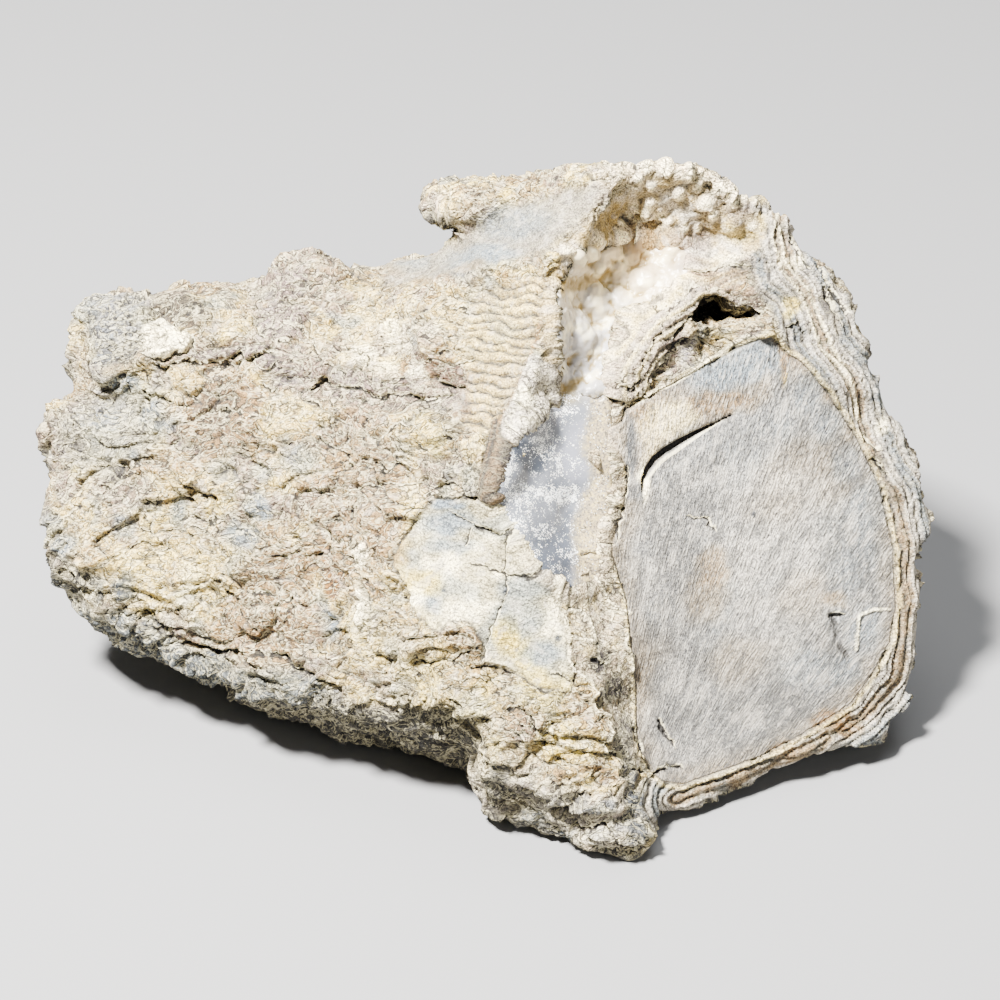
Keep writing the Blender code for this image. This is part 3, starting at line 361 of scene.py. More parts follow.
# round growths, ringed knots and dark flecks: (u, v, radius)
BEADS = (
    (21.9, 69.5, 1.1), (22.2, 67.5, 1.2), (21.8, 66, 1), (23.9, 69.6, 1.2), (25.8, 68.4, 1.2),
    (28.4, 71.2, 1.2), (31, 71.9, 1), (32.4, 69.8, 1.4), (33.5, 68.1, 1), (34.3, 71.7, 1.2),
    (35.6, 70.9, 1.4), (36.5, 69.8, 1.2), (37.9, 70.3, 1), (24.2, 72.1, 0.9), (22.3, 72.9, 0.9),
    (21, 68.4, 0.9), (26.9, 67.4, 0.9), (29.2, 67, 0.8), (31.3, 66.7, 0.9), (39.9, 70.1, 0.8),
    (15.7, 64.5, 1.2), (16.8, 63.6, 0.7), (19.1, 65.6, 0.8), (19.8, 66.9, 0.8), (16.5, 60.1, 0.9),
    (13, 61.4, 1.4), (11.4, 62.1, 1), (14.9, 62, 1.2), (23.4, 74.6, 1.3), (26, 74.4, 1.3),
    (29.5, 73.6, 1.2), (39.5, 66.5, 0.8),
)
# rounded pillows of chalcedony: (u, v, half width, half height, rise)
PILLOWS = (
    (15.2, 56.5, 1.9, 2.4, 0.9), (17.3, 52.8, 1.8, 2.6, 0.8), (12.8, 51.7, 2.6, 2.4, 0.9),
    (10.8, 49.1, 2.7, 2.7, 0.8), (15, 48.9, 2, 2.9, 0.7), (9.6, 46.1, 1.9, 1.6, 0.6),
    (12, 44.1, 1.8, 1.5, 0.8), (15.4, 45.1, 1.5, 2.2, 0.5), (15.9, 42.3, 1.3, 1.2, 0.8),
    (13.8, 46.1, 1.4, 1.2, 0.4), (17.3, 56.1, 1.1, 1.1, 0.7), (20, 55.5, 1.2, 1.2, 0.7),
    (18.9, 62.4, 1.3, 1.3, 1.2), (18.8, 60.6, 1.2, 1.2, 0.6), (22.3, 58.4, 2.7, 1.6, 0.7),
    (27.6, 63.3, 1.2, 1.2, 0.8), (24.8, 64.5, 2.9, 2.3, 0.7), (30.5, 61.6, 2.4, 1.5, 0.5),
    (30.2, 65.3, 3, 2, 0.7), (21.4, 62.1, 1.5, 1.5, 0.5), (25.8, 60.8, 2.1, 1.3, 0.4),
    (33.4, 64.1, 1.4, 1.2, 0.4), (37, 65.5, 2.4, 2, 0.5), (13.5, 59.6, 2.2, 1, 0.5),
)
# white frost on the grey chalcedony below the hollow: (u, v, half width, half height, density)
FROST = (
    (2.8, 30.6, 1.4, 2.8, 1), (1.8, 28.5, 0.9, 0.9, 0.8), (5.3, 26.7, 3.7, 1.7, 0.9),
    (10.7, 26.6, 4, 1.5, 1), (8.3, 34.1, 2.6, 2.6, 0.75), (7.3, 36.5, 2.3, 2, 0.7),
    (10.4, 31.2, 0.9, 2, 1), (12.5, 41.1, 1.8, 1.1, 0.8), (11, 38.9, 2, 0.9, 0.9),
    (4.3, 23.3, 2, 2.3, 0.8), (8.3, 21.4, 2, 1.4, 0.75), (9.5, 39.4, 1.4, 1.4, 0.7),
    (8.5, 38.4, 1.5, 1.4, 0.7), (12, 18, 2.5, 1.5, 0.6), (7, 18.5, 1.5, 1.5, 0.6),
)
RINGS = (
    (-22.3, 51.4, 3.16), (-13.6, 49.6, 2.44), (-5.7, 47.1, 1.72), (18.1, 6.3, 0.63), (14.8, -1.2, 0.92),
    (58.3, 39.2, 0.57), (62.7, 32.5, 0.69), (20.1, 55.7, 1.29), (-44.6, 11.5, 2.58),
)
FLECKS = (
    (39.5, 23.8, 0.51), (46.6, 44.2, 0.41), (47.1, 42.1, 0.23), (47.8, 40.6, 0.28), (49.3, 39, 0.32),
    (50.4, 36.5, 0.41), (51.8, 32.8, 0.32), (53.7, 31, 0.32), (41.7, 46.6, 0.41), (41.5, 45.3, 0.28),
    (10.4, 6, 0.52), (-6.1, 16.5, 0.29), (2.9, 12.7, 0.52), (-6, 12.8, 0.4), (16.9, 38.1, 0.23),
    (-56.3, 12, 0.4),
)
# coloured patches: (colour, share, softness in mm, outline)
PATCHES = (
    ("bluegrey", 0.6, 2, ((-62, 57.4), (-58, 59.5), (-52, 58.9), (-49.5, 52), (-53, 46.5), (-60, 45.4))),
    ("bluegrey", 0.55, 2, ((-65, 37.9), (-57, 43.9), (-48.5, 43.4), (-47, 37), (-53, 31), (-65, 30.4))),
    ("lilac", 0.75, 1.2, ((-52, 49.2), (-38.5, 49.4), (-32.5, 52.4), (-28, 46.5), (-16, 44.2),
        (-2.5, 43.2), (-2.5, 39.4), (-16, 39.2), (-28, 40.7), (-35.5, 46.2), (-50.5, 46.2))),
    ("tan", 0.9, 0.9, ((-46, 40.9), (-43.5, 46), (-37, 46.4), (-33.3, 41.5), (-34.5, 34.5), (-40.8, 32.2),
        (-45, 34.5))),
    ("umber", 0.6, 1.2, ((-43.5, 40), (-42, 44), (-38, 43.5), (-36, 39.5), (-39, 35), (-43, 36))),
    ("yellow", 0.3, 2, ((-58, 16.9), (-49, 24), (-38.5, 20), (-40, 8), (-50.5, 8.5))),
    ("tan", 0.8, 1.5, ((-41.5, 6), (-34, 19), (-27, 19), (-24, 6), (-29, 1), (-38, 1.5))),
    ("tan", 0.75, 1.5, ((-24.5, 35.5), (-13, 36), (-11.5, 17), (-20.5, 13.5), (-26, 22))),
    ("lilac", 0.55, 1.5, ((-37, 60), (-30, 62.5), (-26.5, 58), (-27, 50.5), (-33, 49.5), (-36, 53))),
    ("yellow", 0.3, 2, ((-18, 10), (-9, 9), (-1, 2), (8, -3), (2, -10), (-10, -4), (-18, 2))),
    ("grey", 0.25, 3, ((24, 24), (30, 30), (33, 20), (31, 4), (33, -10), (26, -13), (22.5, 0))),
    ("milk", 0.35, 3.5, ((34, 30), (44, 34), (51, 26), (52, 12), (46, 2), (38, 4), (34, 16))),
    ("grey", 0.22, 2.5, ((34, -12), (48, -8), (55, -2), (54, 4), (46, -1), (36, -3))),
    ("bluegrey", 0.6, 0.9, ((30, 43.1), (33.2, 45.8), (36.9, 48.2), (39.3, 49.8), (41.5, 49.2),
        (42.7, 48), (42.4, 45.3), (40.6, 44.1), (36.3, 43.7), (33.2, 41.9), (30.8, 41.6))),
    ("tan", 0.4, 0.9, ((31.4, 38.9), (33.8, 41), (36.9, 42.8), (40.6, 43.8), (42.4, 44.1), (42.1, 41.1),
        (39.3, 39.5), (36.3, 38.6), (33.2, 37.1), (30.8, 36.5))),
    ("pale", 0.6, 0.8, ((21.8, 37.9), (24.1, 40), (26.8, 40.6), (29.2, 40.4), (31.1, 38), (30.2, 36.5),
        (27.1, 34.4), (24.1, 31.9), (22.6, 31), (22.6, 34), (22, 36.4))),
    ("slate", 0.5, 0.2, ((20.9, 39.1), (21.4, 36.7), (21.7, 35.2), (21.8, 33.4), (21.4, 31.6), (22, 29.9),
        (22.7, 28.1), (22.9, 25.4), (20.8, 26.3), (20.9, 29.9), (20.5, 32.8), (20.5, 35.8))),
    ("tan", 0.9, 0.2, ((42.1, 49.5), (44, 47.7), (45.5, 47.5), (44.3, 45), (43.5, 42), (43.3, 45),
        (43.1, 47.1))),
    ("honey", 0.9, 0.4, ((9.6, 58.1), (10.3, 59.2), (11, 58.5), (13.8, 58.8), (16.6, 59.1), (17.2, 60),
        (18.7, 60.2), (17.8, 58.9), (15.5, 58.1), (13.8, 57.5), (11.7, 56.3), (10.8, 55.4),
        (10.6, 57.3))),
    ("honey", 0.85, 0.5, ((10.6, 42.7), (12, 43), (13.8, 43.3), (13.1, 41.9), (11.3, 41.6), (9.3, 40.9))),
    ("honey", 0.7, 0.6, ((22.1, 72), (20.9, 70.2), (17.5, 68.5), (15.2, 66), (11.9, 63.7), (13.7, 63.6),
        (14.6, 64.9), (16.2, 65.6), (17, 64.9), (17.7, 65.6), (19.1, 66.9), (20.1, 68.1), (20.2, 69.6))),
    ("deep", 0.85, 0.5, ((2.9, 34.3), (5.4, 34.9), (6.5, 33.2), (8.3, 32.9), (9.5, 31.7), (8, 30.3),
        (5.7, 30.2), (4.7, 31.4))),
    ("lavender", 0.8, 0.6, ((12.2, 37.4), (14.1, 38.5), (14.6, 35.9), (13.4, 33.9), (14.7, 30.7),
        (14.6, 28.1), (12.5, 28.2), (10.7, 30), (10.8, 33), (11.4, 35))),
    ("lavender", 0.55, 0.5, ((27.6, 46.6), (29.5, 49), (31.5, 50.4), (33.2, 50.5), (31, 48.6),
        (28.6, 46))),
    # the notch painted near black: painted shade
    ("hole_shade", 0.85, 0.2, NOTCH),
)
# ---- base colours, sRGB ----
COLOURS = {
    "cream": "9e874c", "pale": "c2ac6d", "white": "f9ecbc", "tan": "6b5230", "yellow": "b59e48",
    "brown": "2a2622", "umber": "423629", "dark": "15120f", "lilac": "64554f",
    "mauve": "5d4839", "bluegrey": "5f686d", "slate": "2f343b", "orange": "64431a",
    "grey": "3e3c38", "limb": "656460", "bark": "59534a", "plate": "988f6d", "saddle": "787365",
    "tongue": "b8a986", "rim": "8a7c64", "arch": "c6b594", "hidden": "6a6152",
    # the underside colour is painted shade for down-facing sides and the lower band; the hole colour is
    # painted shade in the cavity, slits, notch and gash
    "underside_shade": "2e2c26", "honey": "7a622c", "hole_shade": "0c0805", "milk": "bdb4a3",
    "window": "62656a", "frost": "f2f2ec", "deep": "30353d", "lavender": "777880",
}


def smooth_step(low, high, value):
    t = np.clip((value - low) / (high - low), 0, 1)
    return t * t * (3 - 2 * t)


def linear(code):
    """Linear RGB of an sRGB hex colour."""
    parts = np.array([int(code[i : i + 2], 16) / 255 for i in (0, 2, 4)])
    return np.where(parts < 0.04045, parts / 12.92, ((parts + 0.055) / 1.055) ** 2.4)


PALETTE = {name: linear(code) for name, code in COLOURS.items()}


def show_plane(places):
    v = places[:, 1] * math.sin(SHOW_ELEVATION) + places[:, 2] * math.cos(SHOW_ELEVATION)
    return np.column_stack((places[:, 0], v))


# ---- noise ----
DICE = np.random.default_rng(7)
SHUFFLE = DICE.permutation(512).astype(np.int32)
DIRECTIONS = DICE.normal(size=(512, 3)).astype(np.float32)
DIRECTIONS /= np.linalg.norm(DIRECTIONS, axis=1)[:, None]
SEEDS = DICE.random((512, 3)).astype(np.float32)


def noise(places, shift=0.0):
    """Gradient noise of about -1 to 1 with one cell to a unit."""
    places = np.asarray(places, np.float32) + np.float32(shift)
    cell = np.floor(places).astype(np.int32)
    f = places - cell
    ease = f * f * f * (f * (f * 6 - 15) + 10)
    total = np.zeros(len(places), np.float32)
    for dx in (0, 1):
        hx = SHUFFLE[(cell[:, 0] + dx) & 511]
        wx = ease[:, 0] if dx else 1 - ease[:, 0]
        for dy in (0, 1):
            hy = SHUFFLE[(hx + cell[:, 1] + dy) & 511]
            wy = wx * (ease[:, 1] if dy else 1 - ease[:, 1])
            for dz in (0, 1):
                g = DIRECTIONS[SHUFFLE[(hy + cell[:, 2] + dz) & 511]]
                wz = wy * (ease[:, 2] if dz else 1 - ease[:, 2])
                total += wz * (
                    g[:, 0] * (f[:, 0] - dx) + g[:, 1] * (f[:, 1] - dy) + g[:, 2] * (f[:, 2] - dz)
                )
    return total * 1.7


def layered_noise(places, octaves, shift=0.0, gain=0.5):
    """Noise with finer and fainter noise laid over it, about -1 to 1."""
    total, size, amount = 0, 0, 1.0
    for octave in range(octaves):
        total = total + amount * noise(places * 2.03**octave, shift + 17.3 * octave)
        size += amount
        amount *= gain
    return total / size * 1.25


def creases(places, octaves, shift=0.0, gain=0.5):
    """Rounded swellings that meet in sharp creases, 0 in the creases and about 1 at most."""
    total, size, amount = 0, 0, 1.0
    for octave in range(octaves):
        total = total + amount * np.abs(noise(places * 2.1**octave, shift + 13.1 * octave))
        size += amount
        amount *= gain
    return total / size * 1.8


def warped(places, scale, amount, shift=0.0):
    """The places pushed about by noise of that scale, by up to that amount."""
    push = [noise(places / scale, shift + 41.7 * axis) for axis in range(3)]
    return places + amount * np.column_stack(push)


def cells(places, shift=0.0):
    """Distance to the nearest scattered point and to the next one, which point, and the way to it."""
    places = np.asarray(places, np.float32) + np.float32(shift)
    cell = np.floor(places).astype(np.int32)
    first = np.full(len(places), 9.0, np.float32)
    second = first.copy()
    which = np.zeros(len(places), np.int32)
    way = np.zeros((len(places), 3), np.float32)
    for dx in (-1, 0, 1):
        hx = SHUFFLE[(cell[:, 0] + dx) & 511]
        for dy in (-1, 0, 1):
            hy = SHUFFLE[(hx + cell[:, 1] + dy) & 511]
            for dz in (-1, 0, 1):
                name = SHUFFLE[(hy + cell[:, 2] + dz) & 511]
                step = cell + np.array((dx, dy, dz)) + SEEDS[name] - places
                far = np.sqrt((step * step).sum(axis=1)).astype(np.float32)
                nearer = far < first
                second = np.where(nearer, first, np.minimum(second, far))
                which = np.where(nearer, name, which)
                way[nearer] = step[nearer]
                first = np.where(nearer, far, first)
    return first, second, which, way


def terrace(level, softness):
    """Steps: flat treads joined by risers of that softness."""
    whole = np.floor(level)
    return whole + smooth_step(0.5 - softness, 0.5 + softness, level - whole)


def riser(level):
    """Zero on each riser of the same steps, growing to half a step away from it."""
    return np.abs((level % 2) - 1) - 0.5


# ---- distances on the show plane ----
def segment_distance(plane, start, end):
    """Each point's distance to the segment, and its side of it as -1 or 1."""
    start, along = np.array(start), np.array(end) - np.array(start)
    t = np.clip((plane - start) @ along / max(along @ along, 1e-9), 0, 1)
    gap = plane - start - t[:, None] * along
    side = np.sign(along[0] * gap[:, 1] - along[1] * gap[:, 0])
    return np.sqrt((gap * gap).sum(axis=1)), side


def near_points(plane, path, reach, show):
    """Which points of the show side lie within reach of the box round the path."""
    path = np.array(path)
    low, high = path.min(axis=0) - reach, path.max(axis=0) + reach
    return np.flatnonzero(((plane > low) & (plane < high)).all(axis=1) & show)


def path_distance(plane, path, reach, show):
    """(which points are near, their distance to the path, their side of it)."""
    near = near_points(plane, path, reach, show)
    best = np.full(len(near), reach)
    side = np.ones(len(near))
    for start, end in zip(path, path[1:]):
        far, which = segment_distance(plane[near], start, end)
        side = np.where(far < best, which, side)
        best = np.minimum(best, far)
    return near, best, side


def outline_distance(plane, outline, show, reach=12.0):
    """Distance to the outline in mm, positive inside it, at least -reach."""
    result = np.full(len(plane), -reach)
    near, best, _ = path_distance(plane, outline + outline[:1], reach, show)
    u, v = plane[near].T
    inside = np.zeros(len(near), bool)
    for (u0, v0), (u1, v1) in zip(outline, outline[1:] + outline[:1]):
        if v0 != v1:
            crosses = (v0 > v) != (v1 > v)
            inside ^= crosses & (u < (u1 - u0) * (v - v0) / (v1 - v0) + u0)
    result[near] = np.where(inside, best, -best)
    return result


# ---- meshes ----
def dense_copy(name, node, voxel):
    """A closed copy of a frame node with even, small faces."""
    piece = bpy.data.objects.new(name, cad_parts[node].data.copy())
    bpy.context.collection.objects.link(piece)
    remesh = piece.modifiers.new("even faces", "REMESH")
    remesh.mode = "VOXEL"
    remesh.voxel_size = voxel * MM
    apply_modifiers(piece)
    return piece


def apply_modifiers(piece):
    view = bpy.context.evaluated_depsgraph_get()
    shaped = bpy.data.meshes.new_from_object(piece.evaluated_get(view), depsgraph=view)
    piece.modifiers.clear()
    piece.data = shaped


def read(mesh, what):
    """The "places" of the mesh's points in mm, or their "normals"."""
    values = np.empty(len(mesh.vertices) * 3, np.float32)
    if what == "places":
        mesh.vertices.foreach_get("co", values)
        return values.reshape(-1, 3).astype(float) / MM
    mesh.update()
    mesh.vertex_normals.foreach_get("vector", values)
    return values.reshape(-1, 3).astype(float)


def write_places(mesh, places):
    mesh.vertices.foreach_set("co", (places * MM).astype(np.float32).ravel())
    mesh.update()


def keep(mesh, name, values):
    """Stores values on the mesh's points: one number or one vector each."""
    kind, slot = ("FLOAT", "value") if values.ndim == 1 else ("FLOAT_VECTOR", "vector")
    layer = mesh.attributes.new(name, kind, "POINT")
    layer.data.foreach_set(slot, values.astype(np.float32).ravel())


def relax(mesh, values, rounds, strength=1.0):
    """Evens out values over neighbouring points, the given number of rounds."""
    edges = np.empty(len(mesh.edges) * 2, np.int32)
    mesh.edges.foreach_get("vertices", edges)
    a, b = edges.reshape(-1, 2).T
    count = len(mesh.vertices)
    degree = (np.bincount(a, minlength=count) + np.bincount(b, minlength=count))[:, None]
    values = values.reshape(count, -1)
    share = 0.5 * np.asarray(strength).reshape(-1, 1)
    for _ in range(rounds):
        total = np.column_stack([
            np.bincount(a, values[b, axis], count) + np.bincount(b, values[a, axis], count)
            for axis in range(values.shape[1])
        ])
        values = values + share * (total / degree - values)
    return values


def hollowness(mesh, places, rounds):
    """How far each point lies below its surroundings, in mm."""
    normals = read(mesh, "normals")
    return ((relax(mesh, places, rounds) - places) * normals).sum(axis=1)


def dressed_slices(piece, fields, material):
    """The dense piece as slices along X of so many triangles, which meet point for point.

    Each carries the fields as attributes, and normals of the whole surface hide the joints.
    """
    mesh = piece.data
    places, normals = read(mesh, "places"), read(mesh, "normals")
    quads = np.empty(len(mesh.loops), np.int32)
    mesh.loops.foreach_get("vertex_index", quads)
    quads = quads.reshape(-1, 4)
    count = math.ceil(2 * len(quads) / PIECE_TRIANGLES)
    middle = places[quads, 0].mean(axis=1)
    limits = np.quantile(middle, np.linspace(0, 1, count + 1)[1:-1])
    which = np.searchsorted(limits, middle)
    pieces = []
    for number in range(count):
        used, faces = np.unique(quads[which == number], return_inverse=True)
        name = piece.name if count == 1 else f"{piece.name}_{number + 1}"
        part = bpy.data.meshes.new(name)
        part.from_pydata(places[used] * MM, [], faces.reshape(-1, 4))
        part.polygons.foreach_set("use_smooth", np.ones(len(part.polygons), bool))
        for title, values in fields.items():
            keep(part, title, values[used])
        part.normals_split_custom_set_from_vertices(normals[used])
        part.materials.append(material)
        pieces.append(bpy.data.objects.new(name, part))
        bpy.context.collection.objects.link(pieces[-1])
    bpy.data.objects.remove(piece)
    return pieces


# ---- where each point lies ----
OUTLINES = (  # (name, outline, whether its edge stays crisp)
    ("limb", LIMB, True), ("plate", PLATE, False), ("window", WINDOW, False),
    ("rim", TAN_RIM, False), ("hollow", HOLLOW, False), ("tongue", TONGUE, True),
    ("cavity", CAVITY, True), ("slit_1", SLITS[0], True), ("slit_2", SLITS[1], True),
    ("arch", ARCH, False), ("saddle", SADDLE, False), ("ribs", RIBS, False),
    ("foot", FOOT, False), ("lower", LOWER_BAND, False), ("sliver", LIP_SLIVER, True),
    ("strip", LIP_STRIP, True), ("notch", NOTCH, True),
)
FAN_CENTRE = (11, -49)  # the end face's fine grain fans out from below the foot
FAN_RADIUS = 80
FACE_HEART = (42, 14)  # the end face is most leathery round here
BARE_SPOT = (28.7, 47.6, 1.6, 1.4)  # the smooth spot between the tongue and the end face
SHEET_SPINE = (  # the bark's sheets run along this path
    (43.8, 72.5), (43.2, 65.5), (44.5, 60.5), (47.3, 56.8), (49.2, 52), (50.6, 48.4), (53.4, 45),
    (55, 42.1), (55.9, 38.2), (57, 34.5), (58.5, 30.5), (61, 26.3), (62.3, 22), (63, 18), (62.8, 12),
    (62.8, 6), (61.5, -1), (56, -7), (47, -11.5), (36, -15.5), (28, -18),
)


def surface_fields(places, normals):
    """How each point faces, and its distances to the outlines and paths."""
    facing = smooth_step(0.0, 0.25, normals @ TOWARDS_SHOW)
    show = facing > 0
    plane = show_plane(places)
    jitter = np.column_stack([
        noise(places / 1.6, 5.5 + axis) + 0.5 * noise(places / 0.7, 9.1 + axis) for axis in range(2)
    ])
    loose, tight = plane + 0.28 * jitter, plane + 0.1 * jitter
    fields = {"facing": facing, "show": show, "plane": plane, "loose": loose}
    for name, outline, crisp in OUTLINES:
        fields[name] = outline_distance(tight if crisp else loose, outline, show)
    spine, sheets = np.full((2, len(places)), 9.0)
    for distance, path in ((spine, TONGUE_SPINE), (sheets, SHEET_SPINE)):
        near, far, _ = path_distance(plane, path, 9.0, show)
        distance[near] = far
    u, v = plane.T
    wave = layered_noise(places / 5, 3, 2.2)
    stretched = warped(places, 9, 2.4) * (0.55, 1.0, 1.0)
    ragged = warped(places, 2.5, 0.7, 4.0) * (0.6, 1.0, 1.0)
    fields.update(
        coarse=3.3 * layered_noise(stretched / 13, 3, 1.1),
        middle=3.0 * layered_noise(stretched / 5.5, 3, 4.4),
        small=2.2 * layered_noise(stretched / 2.3, 2, 8.8),
        split=layered_noise(ragged / 3.4, 3, 61.0),
        nick=layered_noise(ragged / 1.7, 2, 81.0),
        rib_level=(v + 0.2 * u) / 1.5 + 0.8 * wave,
        fissile=(v + 0.4 * u) / 0.95 + 1.2 * wave,
        tongue_level=spine / 0.8 + 0.8 * wave,
        bark_level=sheets / 1.05 + 0.7 * wave,
        bark=smooth_step(6.5, 5.0, sheets) * smooth_step(0.1, -0.4, fields["limb"]),
        fibre=(v - 0.42 * u) / 0.9 + 0.7 * wave,
        bend=np.arctan2(v - FAN_CENTRE[1], u - FAN_CENTRE[0]) * FAN_RADIUS,
        reach=np.hypot(u - FAN_CENTRE[0], v - FAN_CENTRE[1]),
    )
    nearest_path(fields, "crack", CRACKS, plane + 0.4 * jitter)
    nearest_path(fields, "vein", [(0.34, path) for path in VEINS], tight)
    nearest_path(fields, "gash", [(1.0, GASH)], plane)
    nearest_path(fields, "comb", [(1.0, COMB)], tight)
    nearest_path(fields, "lip", [(0.6, LIP)], tight)
    return fields


def rise_to_crust(places, normals):
    """How far, in mm, the stone must rise beside the chalcedony crust to meet its upper edge."""
    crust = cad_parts["chalcedony_crust"].data
    corners = read(crust, "places")
    tree = BVHTree.FromPolygons([v.co for v in crust.vertices], [p.vertices for p in crust.polygons])
    near = np.flatnonzero(((places > corners.min(axis=0) - 4) & (places < corners.max(axis=0) + 4))
                          .all(axis=1))
    rise = np.zeros(len(places))
    for point in near:
        probe = Vector((places[point] + 3.5 * normals[point]) * MM)
        hit = tree.find_nearest(probe, 5 * MM)[0]
        if hit:
            offset = np.array(hit) / MM - places[point]
            up = offset @ normals[point]
            aside = math.sqrt(max(offset @ offset - up * up, 0))
            rise[point] = min(max(0.9 * up - 0.2, 0), 2.2) * smooth_step(3.2, 0.7, aside)
    return rise


def nearest_path(fields, name, paths, plane, reach=2.5):
    """Adds the signed distance to the nearest of the paths in half widths, and in mm."""
    count = len(plane)
    across, away, width = np.full(count, 20.0), np.full(count, reach), np.full(count, 0.2)
    for size, path in paths:
        near, far, side = path_distance(plane, path, reach, fields["show"])
        closer = far < away[near]
        chosen = near[closer]
        away[chosen] = far[closer]
        across[chosen] = (side * far)[closer] / (size / 2)
        width[chosen] = size
    fields[name], fields[name + "_away"], fields[name + "_width"] = across, away, width


def gash_width(fields):
    """Half the gash's opening along it, in mm: widest in its lower bend, closed at both ends."""
    v = fields["plane"][:, 1] + 0.3 * fields["plane"][:, 0]
    return 0.5 * smooth_step(33.0, 38.5, v) * smooth_step(50.5, 40.5, v)


def inside(distance, softness):
    """0 outside an outline and 1 inside it, fading over the softness to both sides."""
    return smooth_step(-softness, softness, distance)


def blend(low, high, share):
    """From low to high by each point's share."""
    share = share if np.ndim(low) < 2 else share[:, None]
    return low + (high - low) * share


def line(value, width):
    """1 where the value is near zero, fading over that width."""
    return np.exp(-((value / width) ** 2))


def groove(level, width):
    """Rounded ribs with narrow grooves between them, about -1 to 0.3."""
    return 0.3 - line(level % 1 - 0.5, width) * 1.3


def spot(plane, u, v, wide, high=None):
    """Distance from (u, v), 1 on the rim of a round or oval spot of those half sizes."""
    return np.hypot((plane[:, 0] - u) / wide, (plane[:, 1] - v) / (high or wide))


def dome(plane, u, v, wide, high=None):
    """A round swelling of height 1 at (u, v)."""
    return np.sqrt(np.clip(1 - spot(plane, u, v, wide, high) ** 2, 0, 1))


def strip_ribs(plane):
    """Fine ribs along the strip on the broken lip, -1 to 1."""
    return np.sin((plane[:, 0] - 0.24 * plane[:, 1]) * 9)


def beads(plane, dip):
    """Height of the round growths, each in a shallow dip."""
    height = 0
    for u, v, radius in BEADS:
        swelling = dome(plane, u, v, radius)
        height = height + 0.9 * radius * swelling - dip * (swelling > 0)
    return height


# ---- the stone's relief ----
def chips(places, size, shift):
    """Shallow scoops that meet in sharp ridges, as broken stone has them."""
    first, _, _, _ = cells(warped(places, size, 0.4 * size, shift) / size, shift)
    return size * (0.5 * first**2 - 0.1)


def rind_relief(places, fields, fine):
    """The crackled rind: ledges, chips, creases and pits."""
    ragged = smooth_step(-0.25, 0.35, noise(places / 7, 6.6))
    calm = smooth_step(-0.1, 0.45, noise(places / 6.5, 15.0))
    stretched = warped(places, 4, 1.1, 3.0) * (0.55, 1.0, 1.0)
    first, _, which, _ = cells(places / 2.3)
    pits = (which % 5 == 0) * smooth_step(0.36, 0.12, first)
    return (
        1.15 * (terrace(fields["coarse"], 0.05) - fields["coarse"])
        + 0.62 * ragged * (terrace(fields["middle"], 0.06) - fields["middle"])
        + (0.2 - 0.14 * calm) * (terrace(fields["small"], 0.1) - fields["small"])
        + 0.6 * layered_noise(places / 4.8, 2, 7.1)
        + 0.8 * noise(places / 11, 27.0)
        + 0.8 * chips(stretched, 6.5, 1.9)
        + (0.38 - 0.3 * calm) * chips(stretched, 2.6, 3.7)
        + (0.13 - 0.07 * calm) * fine
        - 0.3 * ragged * line(riser(fields["middle"]), 0.07)
        - 0.4 * line(fields["split"], 0.05) * smooth_step(-0.1, 0.3, noise(places / 6, 3.6))
        - 0.35 * (1 - calm) * pits
    )


def layered_relief(places, fields, rind, fine):
    """The rind with the foot, ribs, saddle, bark, hollow, tongue, rim and plate blended in."""
    height = blend(rind, 0.8 * rind + 1.1 * chips(places, 3.4, 2.5),
                   0.8 * smooth_step(-0.5, 2.5, fields["foot"]))
    height = blend(height, 0.22 * rind + 0.6 * groove(fields["rib_level"], 0.15),
                   smooth_step(-1.5, 1.0, fields["ribs"]))
    height = blend(height, 0.12 * rind + 0.08 * groove(fields["fibre"], 0.2),
                   smooth_step(-1.5, 1.5, fields["saddle"]))
    sheets = 0.45 * (terrace(fields["bark_level"] / 2, 0.06) - fields["bark_level"] / 2)
    sheets += 0.42 * groove(fields["bark_level"], 0.13)
    height = blend(height, 0.12 * rind + sheets, fields["bark"])
    height = blend(height, 0.3 * fine + 0.4 * noise(places / 3), 0.7 * inside(fields["hollow"], 0.8))
    folds = 0.35 * terrace(fields["tongue_level"] % 1, 0.1)
    folds += 0.34 * groove(fields["tongue_level"], 0.1)
    height = blend(height, 0.14 * rind + folds, inside(fields["tongue"], 0.3))
    height = blend(height, 0.22 * fine + 0.12 * noise(places / 3), inside(fields["rim"], 0.3))
    split = 0.3 * (terrace(fields["fissile"], 0.05) - fields["fissile"])
    split *= smooth_step(-0.1, 0.4, noise(places / 5, 9.0))
    return blend(height, 0.3 + 0.12 * fine + split, inside(fields["plate"], 0.25))


def end_face_relief(places, fields):
    """The limb's broken end: fine fanning grain, broad swells and grooves beside the bark."""
    u = fields["plane"][:, 0]
    grain = np.column_stack((fields["bend"] / 0.5, fields["reach"] / 1.6, 0 * u))
    leather = creases(places / 1.5, 2, 3.0) * smooth_step(18, 5, spot(fields["plane"], *FACE_HEART, 1))
    face = 0.05 * noise(grain) + 0.26 * layered_noise(places / 6.5, 3) + 0.12 * leather
    grooves = groove(-fields["limb"] / 1.4 + 0.3 * noise(places / 4), 0.12)
    return face + 0.12 * smooth_step(48, 53, u) * grooves


def small_forms(fields):
    """Height of the raised pieces, the ringed knots and the beads."""
    plane = fields["plane"]
    height = fields["facing"] * beads(plane, 0.25)
    for _, rise, outline in PIECES:
        edge = outline_distance(fields["loose"], outline, fields["show"], 3.0)
        height += rise * smooth_step(-0.1, 0.5, edge) - 0.4 * line(edge + 0.15, 0.18)
    for u, v, radius in RINGS:
        far = spot(plane, u, v, radius)
        ring = line(far - 1, 0.16) + 0.7 * line(far - 0.5, 0.14)
        height += fields["facing"] * min(0.35, radius * 0.2) * (ring - 0.5 * (far < 1))
    return height


